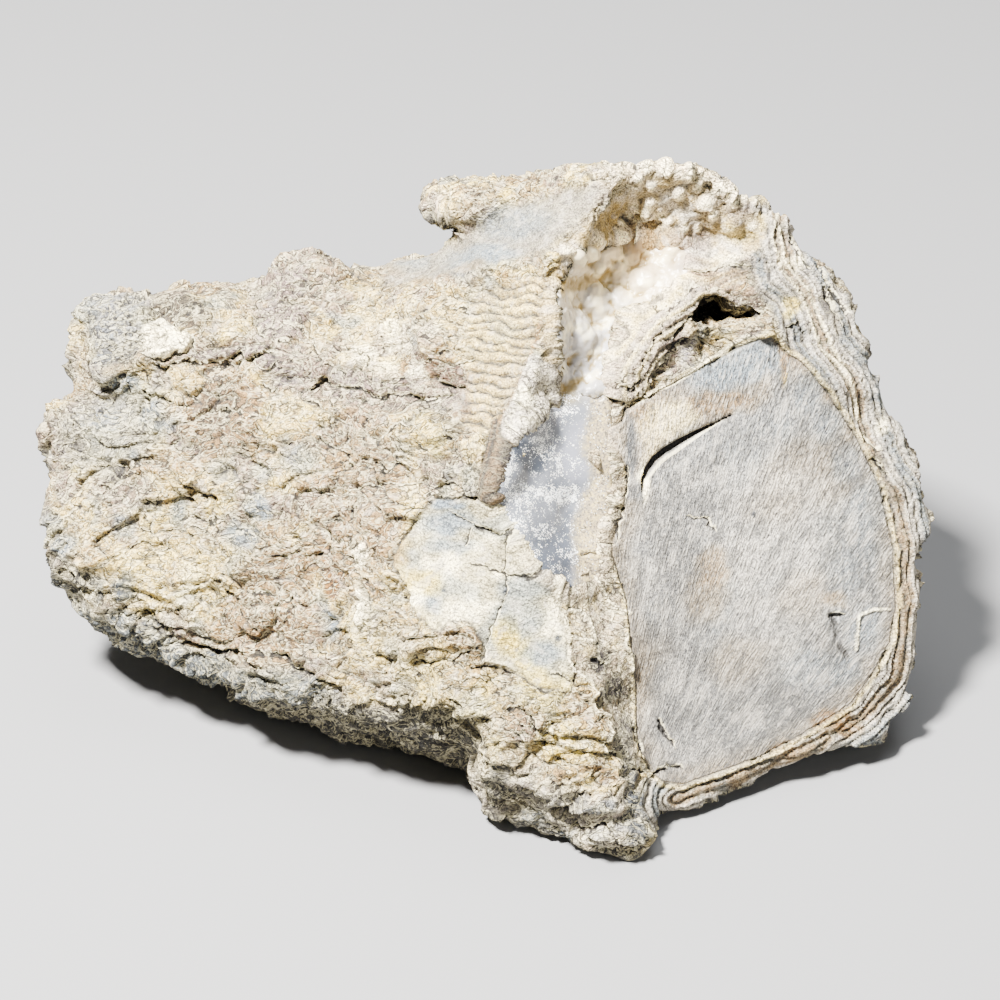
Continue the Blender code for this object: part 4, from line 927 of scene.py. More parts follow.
def cuts(fields):
    """Depth of the cracks, the gash, the comb, the cavity and its slits."""
    width = fields["crack_width"]
    depth = (0.35 + 1.3 * width) * line(fields["crack_away"], 0.62 * width + 0.06)
    depth -= 0.15 * line(fields["crack"] * width / 2 - width, 0.35) * (width > 0.2)
    half = gash_width(fields)
    depth += 1.3 * (half > 0.02) * smooth_step(1.3 * half + 0.1, 0.4 * half, fields["gash_away"])
    depth += 0.35 * smooth_step(0.8, 0.2, fields["comb_away"])
    floor = np.maximum(fields["cavity"], 0.5 * np.maximum(fields["slit_1"], fields["slit_2"]))
    return depth + 2.2 * smooth_step(-0.1, 0.9, floor)


def stone_relief(places, fields):
    """Height in mm added along the normal."""
    fine = layered_noise(places / 1.3, 3, 3.3)
    height = layered_relief(places, fields, rind_relief(places, fields, fine), fine)
    height = blend(height, end_face_relief(places, fields), inside(fields["limb"], 0.12))
    bare = smooth_step(2.5, 0.5, spot(fields["plane"], *BARE_SPOT))
    height = blend(height, 0.05 * fine, 0.9 * bare * (1 - inside(fields["tongue"], 0.3)))
    height += 0.22 * line(fields["limb"] + 0.55, 0.3) * fields["facing"]
    height -= 0.3 * line(fields["limb"] + 0.05, 0.14)
    height -= 0.45 * line(fields["plate"] + 0.12, 0.18)
    height += small_forms(fields)

    strip = inside(fields["strip"], 0.12)
    height = blend(height, 0.5 + 0.12 * strip_ribs(fields["plane"]), strip)
    height += 0.35 * smooth_step(1.2, 0.7, np.abs(fields["lip"])) * (1 - strip)
    height = blend(height, 0.45 + 0.1 * noise(places / 1.4), inside(fields["sliver"], 0.2) * (1 - strip))
    height -= 1.0 * inside(fields["notch"], 0.2)
    height += 0.35 * smooth_step(1.8, 0.7, np.abs(fields["vein"]))
    return height - cuts(fields) + fields["beside"]


# ---- the stone's colour ----
class Tint:
    """Base colours of a surface's points, mixed one layer after another.

    They mix as cube roots, closer to what the eye sees, so that a dark stain stays dark.
    """

    def __init__(self, count, first):
        self.roots = np.tile(np.cbrt(PALETTE[first]), (count, 1))

    def mix(self, name, share):
        self.roots = blend(self.roots, np.cbrt(PALETTE[name]), np.clip(share, 0, 1))

    def add_marks(self, fields, share):
        """The stains and the coloured patches, with ragged edges."""
        plane = fields["plane"]
        loose = fields["loose"] + 0.8 * np.column_stack(
            [noise(np.column_stack((plane / 2.8, plane[:, 0] * 0)), shift) for shift in (2.0, 12.0)])
        for name, stains in STAINS.items():
            for *place, strength in stains:
                self.mix(name, share * strength * fields["facing"]
                         * smooth_step(1.5, 0.6, spot(loose, *place)))
        for name, strength, softness, outline in PATCHES:
            edge = outline_distance(loose, outline, fields["show"], 4.0)
            self.mix(name, strength * inside(edge, softness))

    def add_beads(self, fields, arch, white, low):
        """The round growths, tan at the foot and white on top."""
        for u, v, radius in BEADS:
            swelling = dome(fields["plane"], u, v, radius)
            self.mix("arch", arch * smooth_step(0.0, 0.3, swelling))
            self.mix("white", white * smooth_step(low, 0.95, swelling))

    def add_clouds(self, places, clouds, share=1.0):
        """Clouds of colour: (name, share, from, to this much noise, size in mm, shift)."""
        for name, strength, low, high, size, shift in clouds:
            cloud = layered_noise(places / size, 2, shift)
            self.mix(name, strength * share * smooth_step(low, high, cloud))


RIND_CLOUDS = (
    ("yellow", 0.6, 0.05, 0.45, 7, 77.7), ("tan", 0.8, 0.0, 0.35, 6.5, 31.7),
    ("lilac", 0.75, 0.1, 0.35, 7, 23.9), ("bluegrey", 0.65, 0.2, 0.45, 7, 91.3),
)
END_FACE_CLOUDS = (
    ("tan", 0.35, 0.1, 0.6, 14, 45.0), ("bluegrey", 0.4, 0.0, 0.5, 11, 85.0),
    ("milk", 0.35, 0.05, 0.5, 5, 29.0), ("grey", 0.3, 0.0, 0.5, (4, 4, 9), 59.0),
)


def colour_rind(tint, places, normals, fields):
    """The rind's patches, the hidden sides, and the ribs, saddle, arch, foot and lower band, with painted
    shade on steep and down-facing sides and on the lower band.
    """
    ragged = warped(places, 3.0, 0.8, 14.0)
    broad = layered_noise(ragged / 12, 2, 12.1)
    small = layered_noise(places / 1.8, 2, 55.1)
    tint.mix("pale", 0.8 * smooth_step(0.0, 0.5, broad))
    tint.add_clouds(ragged, RIND_CLOUDS)
    tint.mix("pale", 0.3 * smooth_step(0.1, 0.4, small))
    tint.mix("umber", 0.45 * smooth_step(0.15, 0.4, layered_noise(ragged / 4, 2, 13.3)))

    # greyer on steep and down-facing sides: painted shade
    tint.mix("saddle", 0.6 * smooth_step(0.45, -0.1, normals[:, 2]))
    hidden = 1 - smooth_step(-0.2, 0.3, normals @ TOWARDS_SHOW)
    tint.mix("hidden", 0.6 * hidden)
    tint.mix("brown", 0.3 * hidden * smooth_step(0.0, 0.5, broad))
    # dark on down-facing sides: painted shade
    tint.mix("underside_shade", 0.9 * smooth_step(0.1, -0.35, normals[:, 2]))
    ribs = smooth_step(-1.5, 1.0, fields["ribs"])
    tint.mix("pale", 0.6 * ribs)
    tint.mix("brown", 0.6 * ribs * line(fields["rib_level"] % 1 - 0.5, 0.11))
    saddle = smooth_step(-2.0, 1.0, fields["saddle"])
    tint.mix("saddle", 0.9 * saddle)
    tint.mix("lilac", 0.4 * saddle * line(fields["fibre"] % 1 - 0.5, 0.2))
    tint.mix("arch", 0.8 * smooth_step(-1.0, 1.0, fields["arch"]))
    tint.mix("milk", 0.4 * smooth_step(-1.0, 1.0, fields["foot"]) * smooth_step(-0.2, 0.3, broad))
    # dark along the lower band under the sharp edge: painted shade
    tint.mix("underside_shade", 0.7 * smooth_step(-0.5, 1.5, fields["lower"] + small))
    tint.mix("bluegrey", 0.5 * smooth_step(-0.5, 1.5, fields["lower"] - small))


def colour_layers(tint, places, fields):
    """The bark's sheets, the tongue, the rim and the plate."""
    patch = layered_noise(places / 3.5, 3, 31.7)
    bark = fields["bark"]
    tint.mix("bark", 0.85 * bark)
    sheet = SEEDS[np.floor(fields["bark_level"]).astype(int) & 511]
    for axis, name in enumerate(("milk", "tan", "bluegrey")):
        tint.mix(name, 0.7 * bark * smooth_step(0.45, 0.75, sheet[:, axis] + 0.3 * patch))
    tint.mix("brown", 0.6 * bark * line(fields["bark_level"] % 1 - 0.5, 0.1))

    plate = inside(fields["plate"], 0.15)
    tint.mix("plate", plate)
    tint.mix("white", 0.7 * plate * smooth_step(0.0, 0.4, patch))
    tint.mix("bluegrey", 0.4 * plate * smooth_step(0.0, 0.4, noise(places / 4, 37.0)))
    rim = inside(fields["rim"], 0.2)
    tint.mix("rim", 0.85 * rim)
    tint.mix("pale", 0.6 * rim * smooth_step(-0.1, 0.4, layered_noise(places / 1.8, 2, 55.1)))
    tongue = inside(fields["tongue"], 0.2)
    bands = riser(fields["tongue_level"])
    tint.mix("tongue", tongue)
    tint.mix("pale", 0.7 * tongue * smooth_step(0.2, 0.45, bands))
    tint.mix("lilac", 0.5 * tongue * smooth_step(0.0, -0.3, bands))
    tint.mix("brown", 0.7 * tongue * line(fields["tongue_level"] % 1 - 0.5, 0.09))
    recess = inside(fields["hollow"], 0.4) * (1 - tongue)
    tint.mix("arch", 0.8 * recess)
    tint.mix("honey", 0.5 * recess * smooth_step(0.3, -0.3, patch))
    tint.mix("milk", 0.7 * recess * smooth_step(0.0, 0.4, patch))


def stone_colour(places, normals, fields):
    """Base colour of each point, before the fine grain that the material adds."""
    u, v = fields["plane"].T
    facing = fields["facing"]
    tint = Tint(len(places), "cream")
    colour_rind(tint, places, normals, fields)
    colour_layers(tint, places, fields)
    limb = inside(fields["limb"], 0.08)
    tint.mix("limb", limb)
    tint.add_clouds(places, END_FACE_CLOUDS, limb)
    tint.mix("tan", 0.35 * limb * smooth_step(4.0, 0.5, fields["limb"] + noise(places / 3)))
    tint.add_marks(fields, 1.25)
    for name, _, outline in PIECES:
        edge = outline_distance(fields["loose"], outline, fields["show"], 3.0)
        tint.mix(name, 0.85 * inside(edge, 0.15))
    for fleck in FLECKS:
        far = spot(fields["plane"], *fleck)
        tint.mix("slate", 0.85 * facing * smooth_step(1.15, 0.7, far))
        tint.mix("dark", 0.6 * facing * smooth_step(0.7, 0.3, far))
    tint.add_beads(fields, 0.8 * facing, 0.7 * facing, 0.6)
    tint.mix("pale", 0.85 * facing * line(fields["limb"] + 0.5, 0.3))
    tint.mix("brown", 0.6 * facing * line(fields["limb"] + 0.02, 0.1))
    tint.mix("brown", 0.6 * facing * line(fields["limb"] + 1.0, 0.12))
    # brown line just outside the plate's edge: partly its tan-brown border, partly painted shadow along
    # its step
    tint.mix("brown", 0.7 * facing * line(fields["plate"] + 0.15, 0.18))
    tint.mix("rim", 0.8 * smooth_step(0.1, 0.8, fields["beside"]) * below_hollow(v, 42)
             * smooth_step(2, 10, u))
    tint.mix("brown", 0.6 * line(np.abs(fields["vein"]) - 1.9, 0.5))
    tint.mix("white", 0.8 * smooth_step(1.5, 0.9, np.abs(fields["vein"])))
    colour_lip(tint, fields)
    # near black in the cavity and its slits: painted shade
    tint.mix("hole_shade", 0.97 * smooth_step(-0.15, 0.4, fields["cavity"]))
    tint.mix("hole_shade", 0.9 * smooth_step(-0.1, 0.2, np.maximum(fields["slit_1"], fields["slit_2"])))
    return tint.roots**3


def colour_lip(tint, fields):
    """The ribbed strip, the ribbon and the milky sliver along the rind's broken lip."""
    plane = fields["plane"]
    strip = inside(fields["strip"], 0.1)
    tint.mix("brown", strip)
    tint.mix("tan", strip * (0.3 + 0.3 * strip_ribs(plane)))
    tint.mix("tan", 0.8 * smooth_step(1.3, 0.8, np.abs(fields["lip"])))
    sliver = inside(fields["sliver"], 0.15)
    tint.mix("milk", 0.8 * sliver)
    tint.mix("white", 0.8 * sliver * smooth_step(1.8, 1.0, spot(plane, *SLIVER_GLINT)))
    # the notch painted near black: painted shade
    tint.mix("hole_shade", 0.9 * inside(fields["notch"], 0.15))


STONE_FIELDS = ("limb", "plate", "crack", "crack_away", "gash", "comb_away", "fissile")


def build_stone():
    stone = dense_copy("stone", "petrified_wood", STONE_VOXEL)
    mesh = stone.data
    places = read(mesh, "places")
    start = surface_fields(places, read(mesh, "normals"))
    places = relax(mesh, places, FACET_SMOOTHING)
    places = relax(mesh, places, 2 * FACET_SMOOTHING, smooth_step(-0.5, 1.5, start["limb"]))
    write_places(mesh, places)
    normals = relax(mesh, read(mesh, "normals"), 8)
    normals /= np.linalg.norm(normals, axis=1)[:, None]

    fields = surface_fields(places, normals)
    fields["beside"] = rise_to_crust(places, normals)
    grounded = smooth_step(0.3, 2.5, places[:, 2])
    risen = places + normals * (stone_relief(places, fields) * grounded)[:, None]
    risen[:, 2] = np.maximum(risen[:, 2], 0.0)
    write_places(mesh, risen)

    tint = stone_colour(places, normals, fields)
    looks = {name: fields[name] for name in STONE_FIELDS}
    smooth = np.maximum(smooth_step(-2.0, 1.0, fields["saddle"]), inside(fields["hollow"], 0.8))
    layered = np.maximum(inside(fields["tongue"], 0.5), smooth_step(-1.5, 1.0, fields["ribs"]))
    layered = np.maximum(layered, inside(fields["strip"], 0.1))
    smooth = np.maximum(smooth, 0.8 * np.maximum(layered, fields["bark"]))
    # dark here means the dark stains and the painted shade alike
    light = smooth_step(0.02, 0.2, tint[:, 0])  # dark stains stay free of the pale mottles
    looks.update(
        fine=hollowness(mesh, risen, 3) / 0.05,
        middle=hollowness(mesh, risen, 10) / 0.12,
        broad=hollowness(mesh, risen, 45) / 0.4,
        tint=tint,
        gash_half=gash_width(fields),
        stroke=riser(fields["middle"]), small_stroke=riser(fields["small"]),
        split=fields["split"], nick=fields["nick"], smooth=smooth,
        patches=0.5 + 0.3 * layered_noise(places / 2.2, 2, 47.0),
        mottle=0.5 + 0.3 * light * layered_noise(places / 1.3, 2, 63.0),
        grain=np.column_stack((fields["bend"], fields["reach"], places[:, 2] * 0)) * MM,
    )
    return dressed_slices(stone, looks, stone_material())


# ---- the chalcedony ----
RUSTY_SPOT = (24, 62.5, 6)  # (u, v, radius) of the warm stain under the arch
WINDOW_TIP = (9.5, 17.5, 1, 1.2)  # the window is darkest round here
TAN_EDGE = (  # where the window turns into its speckled tan border
    (12.8, 20.1), (12.5, 22.6), (13.4, 24.8), (14, 26.6), (15.2, 28.5), (14.9, 30.7), (14, 33),
    (13.4, 34.4), (14.1, 36.2), (14.9, 38.3),
)


def below_hollow(v, top=42.2):
    """1 below the hollow, where the chalcedony is the grey window."""
    return smooth_step(top, top - 2, v)


def crust_relief(places, fields):
    """Height in mm of the chalcedony's pillows, crumbs, beads and rings."""
    plane = fields["plane"]
    facing = fields["facing"]
    hollow = inside(fields["hollow"], 1.0)
    height = 0.16 * layered_noise(places / 2.2, 3) * (1 - 0.7 * inside(fields["window"], 0.6))
    grain, _, _, _ = cells(places / 1.1, 6.1)
    crumbs = smooth_step(57, 63, plane[:, 1] + 3 * noise(places / 3)) * hollow
    height += 0.3 * crumbs * np.sqrt(np.clip(0.8 - grain**2, 0, 1))
    pillows = np.zeros(len(places))
    ragged = plane + 0.5 * (fields["loose"] - plane)
    for *place, rise in PILLOWS:
        pillows = np.maximum(pillows, rise * dome(ragged, *place))
    height += 0.6 * facing * pillows
    height += 0.3 * hollow * layered_noise(places / 1.2, 2, 9.0)
    height += facing * beads(plane, 0.2)
    for ring in RINGS:
        far = spot(plane, *ring)
        height += facing * 0.25 * (line(far - 1, 0.25) - 0.6 * line(far, 0.4))
    height += 0.16 * smooth_step(1.6, 0.8, np.abs(fields["vein"]))
    return height - 0.5 * line(fields["crack_away"], 0.2)


def crust_colour(places, fields, broad):
    """Base colour of each point: the milky lining, the grey window and its tan border."""
    plane = fields["plane"]
    u, v = plane.T
    patch = layered_noise(places / 4, 3, 18.0)
    tint = Tint(len(places), "milk")
    tint.mix("lavender", 0.5 * smooth_step(54, 48, v + 4 * patch))
    tint.mix("arch", 0.9 * smooth_step(-1.5, 1.5, 0.8 * (v - 57.5) + 0.5 * (u - 17) + 3 * patch))
    tint.mix("orange", 0.3 * smooth_step(-0.2, 0.3, patch)
             * smooth_step(1, 1 / 3, spot(plane, *RUSTY_SPOT)))
    tint.mix("white", 0.6 * smooth_step(0.1, 0.5, layered_noise(places / 3, 2, 4.0)))
    # honey in the broad hollows of the lining: partly its own stain, partly painted shade
    tint.mix("honey", 0.8 * smooth_step(0.2, 1.1, broad) * smooth_step(-0.5, 0.3, fields["hollow"]))
    window = below_hollow(v + 0.5 * patch)
    tint.mix("window", window)
    tint.mix("deep", 0.6 * window * smooth_step(0.1, 0.5, layered_noise(places / 5, 2, 71.0)))
    tint.mix("deep", 0.95 * window * smooth_step(5.5, 1.5, spot(plane, *WINDOW_TIP)))
    border = tan_border(fields)
    tint.mix("lavender", 0.6 * window * line(border - 0.3, 0.3))
    tint.mix("rim", 0.9 * window * border)
    tint.mix("pale", 0.4 * window * border * smooth_step(0.0, 0.4, noise(places / 1.1, 3.0)))
    tint.mix("honey", 0.6 * window * smooth_step(39.0, 41.0, v) * smooth_step(15.0, 12.0, u))
    tint.add_marks(fields, 0.9)
    tint.add_beads(fields, 0.7, 0.6, 0.5)
    tint.mix("pale", 0.7 * smooth_step(1.5, 0.9, np.abs(fields["vein"])))
    tint.mix("rim", 0.8 * smooth_step(0.95, 0.5, fields["facing"]))
    tint.mix("brown", 0.5 * smooth_step(0.5, 0.2, fields["facing"]))
    colour_lip(tint, fields)
    return tint.roots**3


def tan_border(fields):
    """1 on the speckled tan side of the window."""
    u, v = fields["loose"].T
    edge_u, edge_v = np.transpose(TAN_EDGE)
    return smooth_step(-1.0, 1.4, u - np.interp(v, edge_v, edge_u))


def frost(places, fields):
    """How densely white frost covers the grey chalcedony."""
    loose = fields["loose"] + 0.5 * np.column_stack((noise(places / 1.5, 3.0), noise(places / 1.5, 7.0)))
    density = np.full(len(places), 0.2)
    for *place, strength in FROST:
        density = np.maximum(density, strength * smooth_step(1.4, 0.5, spot(loose, *place)))
    return density * below_hollow(fields["plane"][:, 1], 42.5) * (1 - 0.75 * tan_border(fields))


def build_chalcedony():
    crust = dense_copy("chalcedony", "chalcedony_crust", CRUST_VOXEL)
    mesh = crust.data
    places = relax(mesh, read(mesh, "places"), 18)
    write_places(mesh, places)
    normals = relax(mesh, read(mesh, "normals"), 6)
    normals /= np.linalg.norm(normals, axis=1)[:, None]
    fields = surface_fields(places, normals)
    risen = places + normals * (0.12 + crust_relief(places, fields) * fields["facing"])[:, None]
    write_places(mesh, risen)
    broad = hollowness(mesh, risen, 40) / 0.3
    looks = {name: fields[name] for name in ("crack", "crack_away")}
    looks.update(
        window=below_hollow(fields["plane"][:, 1]),
        fine=hollowness(mesh, risen, 4) / 0.05, broad=broad,
        tint=crust_colour(places, fields, broad),
        frost=frost(places, fields), border=tan_border(fields),
    )
    return dressed_slices(crust, looks, chalcedony_material())


# ---- materials ----
class Graph:
    """A material's node tree with short ways to add the nodes used here."""

    def __init__(self, name):
        self.material = bpy.data.materials.new(name)
        self.material.use_nodes = True
        self.tree = self.material.node_tree
        self.shader = self.tree.nodes["Principled BSDF"]
        self.place = self.add("ShaderNodeNewGeometry").outputs["Position"]

    def add(self, kind, *values, **settings):
        node = self.tree.nodes.new(kind)
        for key, value in settings.items():
            setattr(node, key, value)
        for socket, value in zip(node.inputs, values):
            self.put(socket, value)
        return node

    def put(self, socket, value):
        if isinstance(value, bpy.types.NodeSocket):
            self.tree.links.new(value, socket)
        elif value is not None:
            socket.default_value = value

    def math(self, operation, *values):
        return self.add("ShaderNodeMath", *values, operation=operation).outputs[0]

    def times(self, first, *others):
        for other in others:
            first = self.math("MULTIPLY", first, other)
        return first

    def plus(self, first, *others):
        for other in others:
            first = self.math("ADD", first, other)
        return first

    def step(self, value, low, high, to_low=0.0, to_high=1.0):
        return self.add("ShaderNodeMapRange", value, low, high, to_low, to_high,
                        interpolation_type="SMOOTHSTEP").outputs[0]

    def number(self, name):
        return self.add("ShaderNodeAttribute", attribute_name=name).outputs["Fac"]

    def colour(self, name):
        return self.add("ShaderNodeAttribute", attribute_name=name).outputs["Color"]

    def noise(self, size, detail=2.0, place=None, roughness=0.5, squash=None):
        """Noise of about 0 to 1 whose largest grains are that many mm across."""
        place = place or self.place
        if squash:
            place = self.add("ShaderNodeVectorMath", place, squash,
                             operation="MULTIPLY").outputs[0]
        node = self.add("ShaderNodeTexNoise")
        for key, value in (("Vector", place), ("Scale", 1 / (size * MM)), ("Detail", detail),
                           ("Roughness", roughness)):
            self.put(node.inputs[key], value)
        return node.outputs["Fac"]

    def mix(self, share, low, high, blend_type="MIX"):
        node = self.add("ShaderNodeMix", data_type="RGBA", blend_type=blend_type)
        for socket, value in zip((node.inputs["Factor"], node.inputs[6], node.inputs[7]),
                                 (share, low, high)):
            if isinstance(value, str):
                value = (*PALETTE[value], 1.0)
            self.put(socket, value)
        return node.outputs[2]

    def lay(self, colour, over, *shares):
        """The colour with another laid over it, by the product of the shares."""
        return self.mix(self.times(*shares), colour, over)

    def ragged(self, size):
        """Signed noise whose zero line wanders raggedly, mostly across the show side."""
        return self.plus(self.noise(size, 3.0, squash=(0.55, 1.0, 1.0), roughness=0.62), -0.5)

    def thin_line(self, across, half):
        return self.step(self.math("ABSOLUTE", across), half * 0.6, half * 1.3, 1.0, 0.0)

    def band(self, value, low, high):
        """1 between the two values, fading towards the higher."""
        return self.times(self.step(value, low - 0.15 * (high - low), low),
                          self.step(value, high, 0.5 * (low + high)))

    def place_axis(self, axis):
        return self.add("ShaderNodeSeparateXYZ", self.place).outputs[axis]

    def bump(self, height, depth):
        node = self.add("ShaderNodeBump")
        for key, value in (("Distance", depth * MM), ("Height", height)):
            self.put(node.inputs[key], value)
        return node.outputs["Normal"]


def stone_material():
    graph = Graph("petrified wood")
    off_face = graph.step(graph.number("limb"), -0.3, 0.1, 1.0, 0.0)
    rough = graph.times(off_face, graph.step(graph.number("plate"), 0.2, -0.4),
                        graph.step(graph.number("smooth"), 0.0, 1.0, 1.0, 0.2))
    colour = add_grains(graph, graph.colour("tint"), off_face)
    colour = paint_shade_and_highlight_by_depth(graph, colour)
    colour, scratches = add_strokes(graph, colour, rough)
    colour, fibres = add_end_grain(graph, colour)
    colour = add_plate_splits(graph, colour)
    colour = add_cracks(graph, colour)
    colour = add_gash(graph, colour)
    colour = add_comb(graph, colour)
    inputs = graph.shader.inputs
    graph.put(inputs["Base Color"], colour)
    graph.put(inputs["Roughness"], graph.step(off_face, 0.0, 1.0, 0.62, 0.85))
    graph.put(inputs["Specular IOR Level"], 0.3)
    relief = graph.plus(
        graph.times(graph.noise(0.5, 2.0, roughness=0.7), graph.step(off_face, 0.0, 1.0, 0.5, 1.0)),
        graph.times(graph.noise(1.7, 2.0, squash=(0.6, 1.0, 1.0)), rough, 2.2),
        graph.times(scratches, -0.6),
        fibres,
    )
    graph.put(inputs["Normal"], graph.bump(relief, 0.45))
    return graph.material


def add_grains(graph, colour, off_face):
    """Fine light and dark grains, with pale and warm mottles off the end face."""
    grains = graph.noise(0.3, 2.0, roughness=0.7)
    gain = graph.add("ShaderNodeCombineColor", *(
        graph.step(grains, 0.3, 0.7, low, high) for low, high in ((0.22, 1.8), (0.22, 1.78), (0.26, 1.72))
    )).outputs[0]
    colour = graph.mix(1.0, colour, gain, "MULTIPLY")
    mottle = graph.number("mottle")
    colour = graph.lay(colour, "milk", graph.step(mottle, 0.53, 0.66, 0.0, 0.32), off_face)
    return graph.lay(colour, "brown", graph.step(mottle, 0.47, 0.34, 0.0, 0.4), off_face)


def paint_shade_and_highlight_by_depth(graph, colour):
    """Painted shade in what lies low, partly dirt, and a painted highlight on what stands proud, partly
    wear.
    """
    depth = graph.plus(
        graph.times(graph.number("fine"), 0.3), graph.times(graph.number("broad"), 0.6),
        graph.times(graph.number("middle"), 0.4), graph.step(graph.noise(0.5, 2.0), 0.3, 0.7, -0.4, 0.4),
    )
    # grey, then near black, in the hollows: painted shade, partly dirt
    colour = graph.lay(colour, "grey", graph.step(depth, 0.3, 2.2, 0.0, 0.6))
    colour = graph.lay(colour, "dark", graph.step(depth, 1.8, 4.0, 0.0, 0.85))
    # lighter on what stands proud: painted highlight, partly wear
    return graph.mix(1.0, colour, graph.step(depth, -0.6, -2.4, 1.0, 1.35), "MULTIPLY")


def add_strokes(graph, colour, rough):
    """Thin dark strokes along the ledges and splits, partly stained crevices and partly painted shadow at
    the foot of each ledge, and ragged scratches, each with a painted highlight along one side.
    """
    scratches = None
    patches = graph.number("patches")
    for value, half, low, high, share, name in (
        (graph.number("stroke"), 0.035, 0.45, 0.53, 0.85, "dark"),
        (graph.number("small_stroke"), 0.05, 0.55, 0.47, 0.8, "dark"),
        (graph.number("split"), 0.035, 0.57, 0.49, 0.85, "dark"),
        (graph.number("nick"), 0.03, 0.47, 0.55, 0.75, "brown"),
        (graph.ragged(1.9), 0.02, 0.46, 0.54, 0.75, "dark"),
        (graph.ragged(1.0), 0.022, 0.53, 0.45, 0.6, "brown"),
    ):
        broken = graph.times(graph.step(patches, low, high), rough)
        # a painted highlight along one side of each stroke
        colour = graph.lay(colour, "white", graph.band(value, 1.4 * half, 4.5 * half), broken, 0.25)
        # the dark stroke: partly stained crevice, partly painted shadow under the ledge
        stroke = graph.times(graph.thin_line(value, half), broken)
        colour = graph.lay(colour, name, stroke, share)
        scratches = graph.math("MAXIMUM", scratches, stroke) if scratches else stroke
    return colour, scratches


def add_end_grain(graph, colour):
    """Short pale and dark fibres that fan across the end face."""
    limb = graph.step(graph.number("limb"), 0.0, 0.25)
    place = graph.colour("grain")
    fibres = graph.noise(0.3, 2.0, place, squash=(1.0, 0.22, 1.0), roughness=0.6)
    broad = graph.noise(1.6, 3.0, place, squash=(1.0, 0.3, 1.0), roughness=0.6)
    for name, grain, low, high, share in (
        ("milk", fibres, 0.5, 0.66, 0.4), ("grey", fibres, 0.48, 0.34, 0.7),
        ("grey", broad, 0.5, 0.38, 0.5), ("milk", broad, 0.52, 0.68, 0.3),
    ):
        colour = graph.lay(colour, name, graph.step(grain, low, high), limb, share)
    return colour, graph.times(fibres, limb)


def add_plate_splits(graph, colour):
    """Fine slanting splits across the broken plate."""
    phase = graph.plus(graph.math("FRACT", graph.number("fissile")), -0.5)
    return graph.lay(colour, "brown", graph.thin_line(phase, 0.05),
                     graph.step(graph.number("patches"), 0.46, 0.56),
                     graph.step(graph.number("plate"), 0.0, 0.3), 0.75)


def add_cracks(graph, colour):
    """The drawn cracks, wobbling and narrowing along their run, with a painted highlight along one side.
    """
    wobble = graph.step(graph.noise(0.7, 1.0), 0.3, 0.7, -0.9, 0.9)
    narrowing = graph.step(graph.number("patches"), 0.38, 0.6, 0.35, 1.6)
    across = graph.math("DIVIDE", graph.plus(graph.number("crack"), wobble), narrowing)
    near = graph.step(graph.number("crack_away"), 0.6, 0.4)
    # painted highlight along one side of each crack
    colour = graph.lay(colour, "white", graph.band(across, 1.2, 3.0), near, 0.5)
    return graph.lay(colour, "dark", graph.thin_line(across, 0.9), near, 0.9)


def add_gash(graph, colour):
    """The gash in the end face: a painted highlight along its lower side, and painted shade inside it
    that darkens towards its upper lip.
    """
    half = graph.plus(graph.number("gash_half"), 0.02)
    across = graph.math("DIVIDE", graph.times(graph.number("gash"), 0.5), half)
    # painted highlight along the lower lip
    colour = graph.lay(colour, "white", graph.band(across, -2.0, -1.0), graph.step(half, 0.05, 0.2), 0.5)
    # painted shade inside the gash, grey at the lower lip to near black at the upper
    depth = graph.mix(graph.step(across, -0.9, 0.5), "grey", "hole_shade")
    return graph.lay(colour, depth, graph.thin_line(across, 0.9), 0.97)


def add_comb(graph, colour):
    """The comb's short dark teeth, about 6 mm apart and slanting with the face's edge."""
    phase = graph.plus(graph.times(graph.number("limb"), 0.35), graph.times(graph.place_axis("Z"), 1100))
    return graph.lay(colour, "dark", graph.step(graph.math("SINE", phase), 0.0, 0.5),
                     graph.step(graph.number("comb_away"), 0.5, 0.3), 0.8)


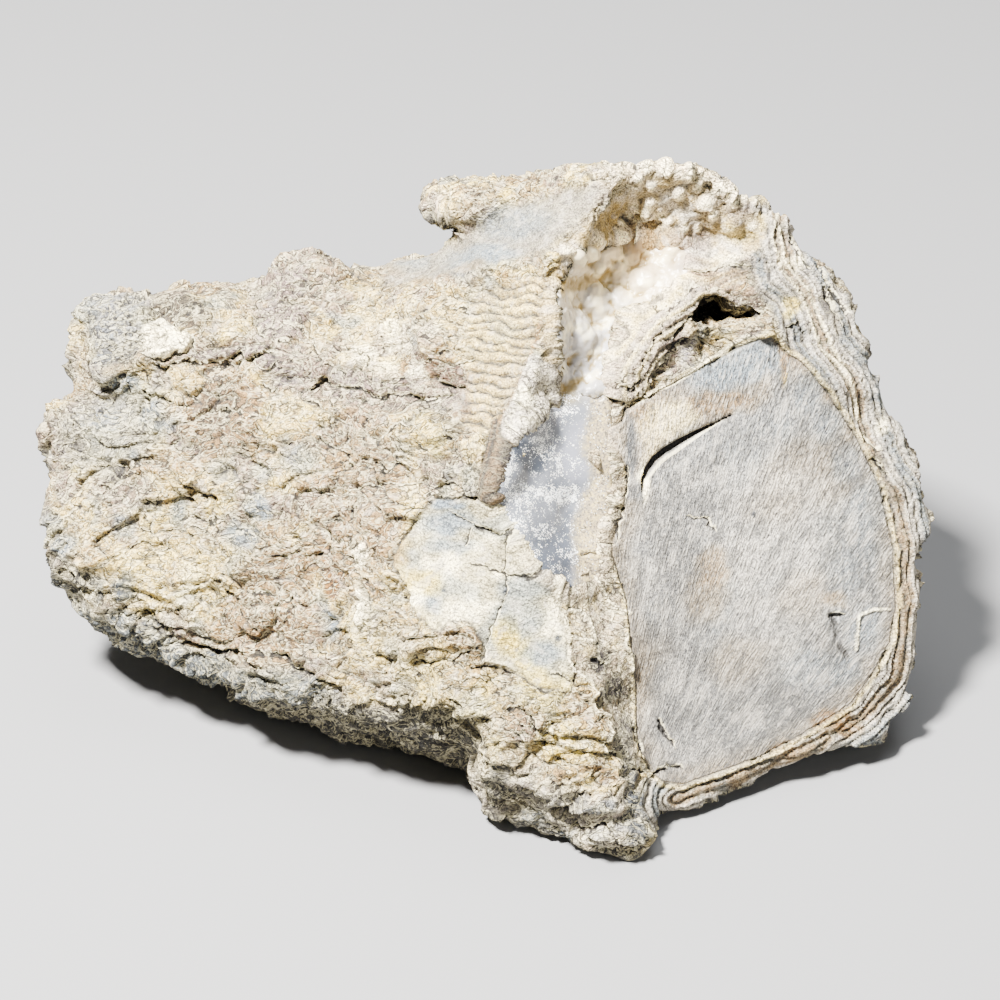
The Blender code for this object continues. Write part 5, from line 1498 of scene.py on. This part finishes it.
def chalcedony_material():
    graph = Graph("chalcedony")
    colour = graph.colour("tint")
    window, border = graph.number("window"), graph.number("border")

    clouds = graph.noise(1.1, 3.0, roughness=0.65)
    dots = graph.noise(0.2, 2.0)
    amount = graph.plus(graph.number("frost"), graph.step(clouds, 0.35, 0.65, -0.5, 0.4))
    speck = graph.step(graph.plus(graph.times(amount, 0.22), dots, -0.68), -0.01, 0.04)
    speck = graph.times(speck, window)
    colour = graph.lay(colour, "frost", speck, 0.92)
    grit = graph.noise(0.32, 1.0, roughness=0.6)
    gritty = graph.math("MAXIMUM", border, graph.step(amount, 0.5, 0.9))
    colour = graph.lay(colour, "brown", graph.step(grit, 0.55, 0.66), gritty, window, 0.75)
    colour = graph.lay(colour, "pale", graph.step(grit, 0.46, 0.36), border, window, 0.6)
    # honey in the shallower hollows, partly the lining's own stain and partly painted shade; brown in the
    # deepest hollows: painted shade
    depth = graph.plus(graph.times(graph.number("fine"), 0.3), graph.times(graph.number("broad"), 0.6))
    colour = graph.lay(colour, "honey", graph.step(depth, 0.6, 2.4, 0.0, 0.5))
    colour = graph.lay(colour, "brown", graph.step(depth, 2.4, 4.5, 0.0, 0.7))
    colour = graph.lay(colour, "dark", graph.thin_line(graph.number("crack"), 0.9),
                       graph.step(graph.number("crack_away"), 0.5, 0.3), 0.85)

    inputs = graph.shader.inputs
    graph.put(inputs["Base Color"], colour)
    graph.put(inputs["Roughness"], graph.step(speck, 0.0, 1.0, 0.34, 0.75))
    graph.put(inputs["IOR"], 1.53)
    graph.put(inputs["Subsurface Weight"], 0.3)
    graph.put(inputs["Subsurface Radius"], (1.0, 0.85, 0.7))
    graph.put(inputs["Subsurface Scale"], 0.0007)
    relief = graph.plus(graph.times(graph.noise(0.9, 4.0, roughness=0.6), 1.2), graph.times(speck, 0.7))
    graph.put(inputs["Normal"], graph.bump(relief, 0.08))
    return graph.material


def floor_material():
    graph = Graph("floor")
    graph.put(graph.shader.inputs["Base Color"], (*FLOOR_COLOUR, 1.0))
    graph.put(graph.shader.inputs["Roughness"], 0.8)
    return graph.material


# ---- the studio ----
def add_camera():
    camera = bpy.data.objects.new("camera", bpy.data.cameras.new("camera"))
    camera.data.lens = LENS
    camera.data.sensor_width = SENSOR
    camera.data.clip_start = 0.01
    towards = Vector(TOWARDS_SHOW)
    camera.location = (Vector(CAMERA_TARGET) + CAMERA_DISTANCE * towards) * MM
    camera.rotation_mode = "QUATERNION"
    camera.rotation_quaternion = (-towards).to_track_quat("-Z", "Y")
    bpy.context.collection.objects.link(camera)
    bpy.context.scene.camera = camera


def add_studio():
    for name, place, size, power, colour in LIGHTS:
        data = bpy.data.lights.new(name, "AREA")
        data.size = size * MM
        data.energy = power
        data.color = colour
        light = bpy.data.objects.new(name, data)
        light.location = Vector(place) * MM
        light.rotation_mode = "QUATERNION"
        aim = Vector(LIGHTS_AIM) - Vector(place)
        light.rotation_quaternion = aim.to_track_quat("-Z", "Y")
        bpy.context.collection.objects.link(light)
    world = bpy.data.worlds.new("surround")
    world.use_nodes = True
    world.node_tree.nodes["Background"].inputs["Color"].default_value = (1, 1, 1, 1)
    world.node_tree.nodes["Background"].inputs["Strength"].default_value = SURROUND_STRENGTH
    bpy.context.scene.world = world

    mesh = bpy.data.meshes.new("floor")
    half = FLOOR_HALF_SIZE
    corners = [(-half, -half, 0), (half, -half, 0), (half, half, 0), (-half, half, 0)]
    mesh.from_pydata(corners, [], [(0, 1, 2, 3)])
    mesh.materials.append(floor_material())
    floor = bpy.data.objects.new("floor", mesh)
    bpy.context.collection.objects.link(floor)


def main():
    add_camera()
    add_studio()
    for pieces, node, slot in (
        (build_stone(), "petrified_wood", "petrified_wood"),
        (build_chalcedony(), "chalcedony_crust", "chalcedony"),
    ):
        for piece in pieces:
            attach(piece, "root")
            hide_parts(node)


main()
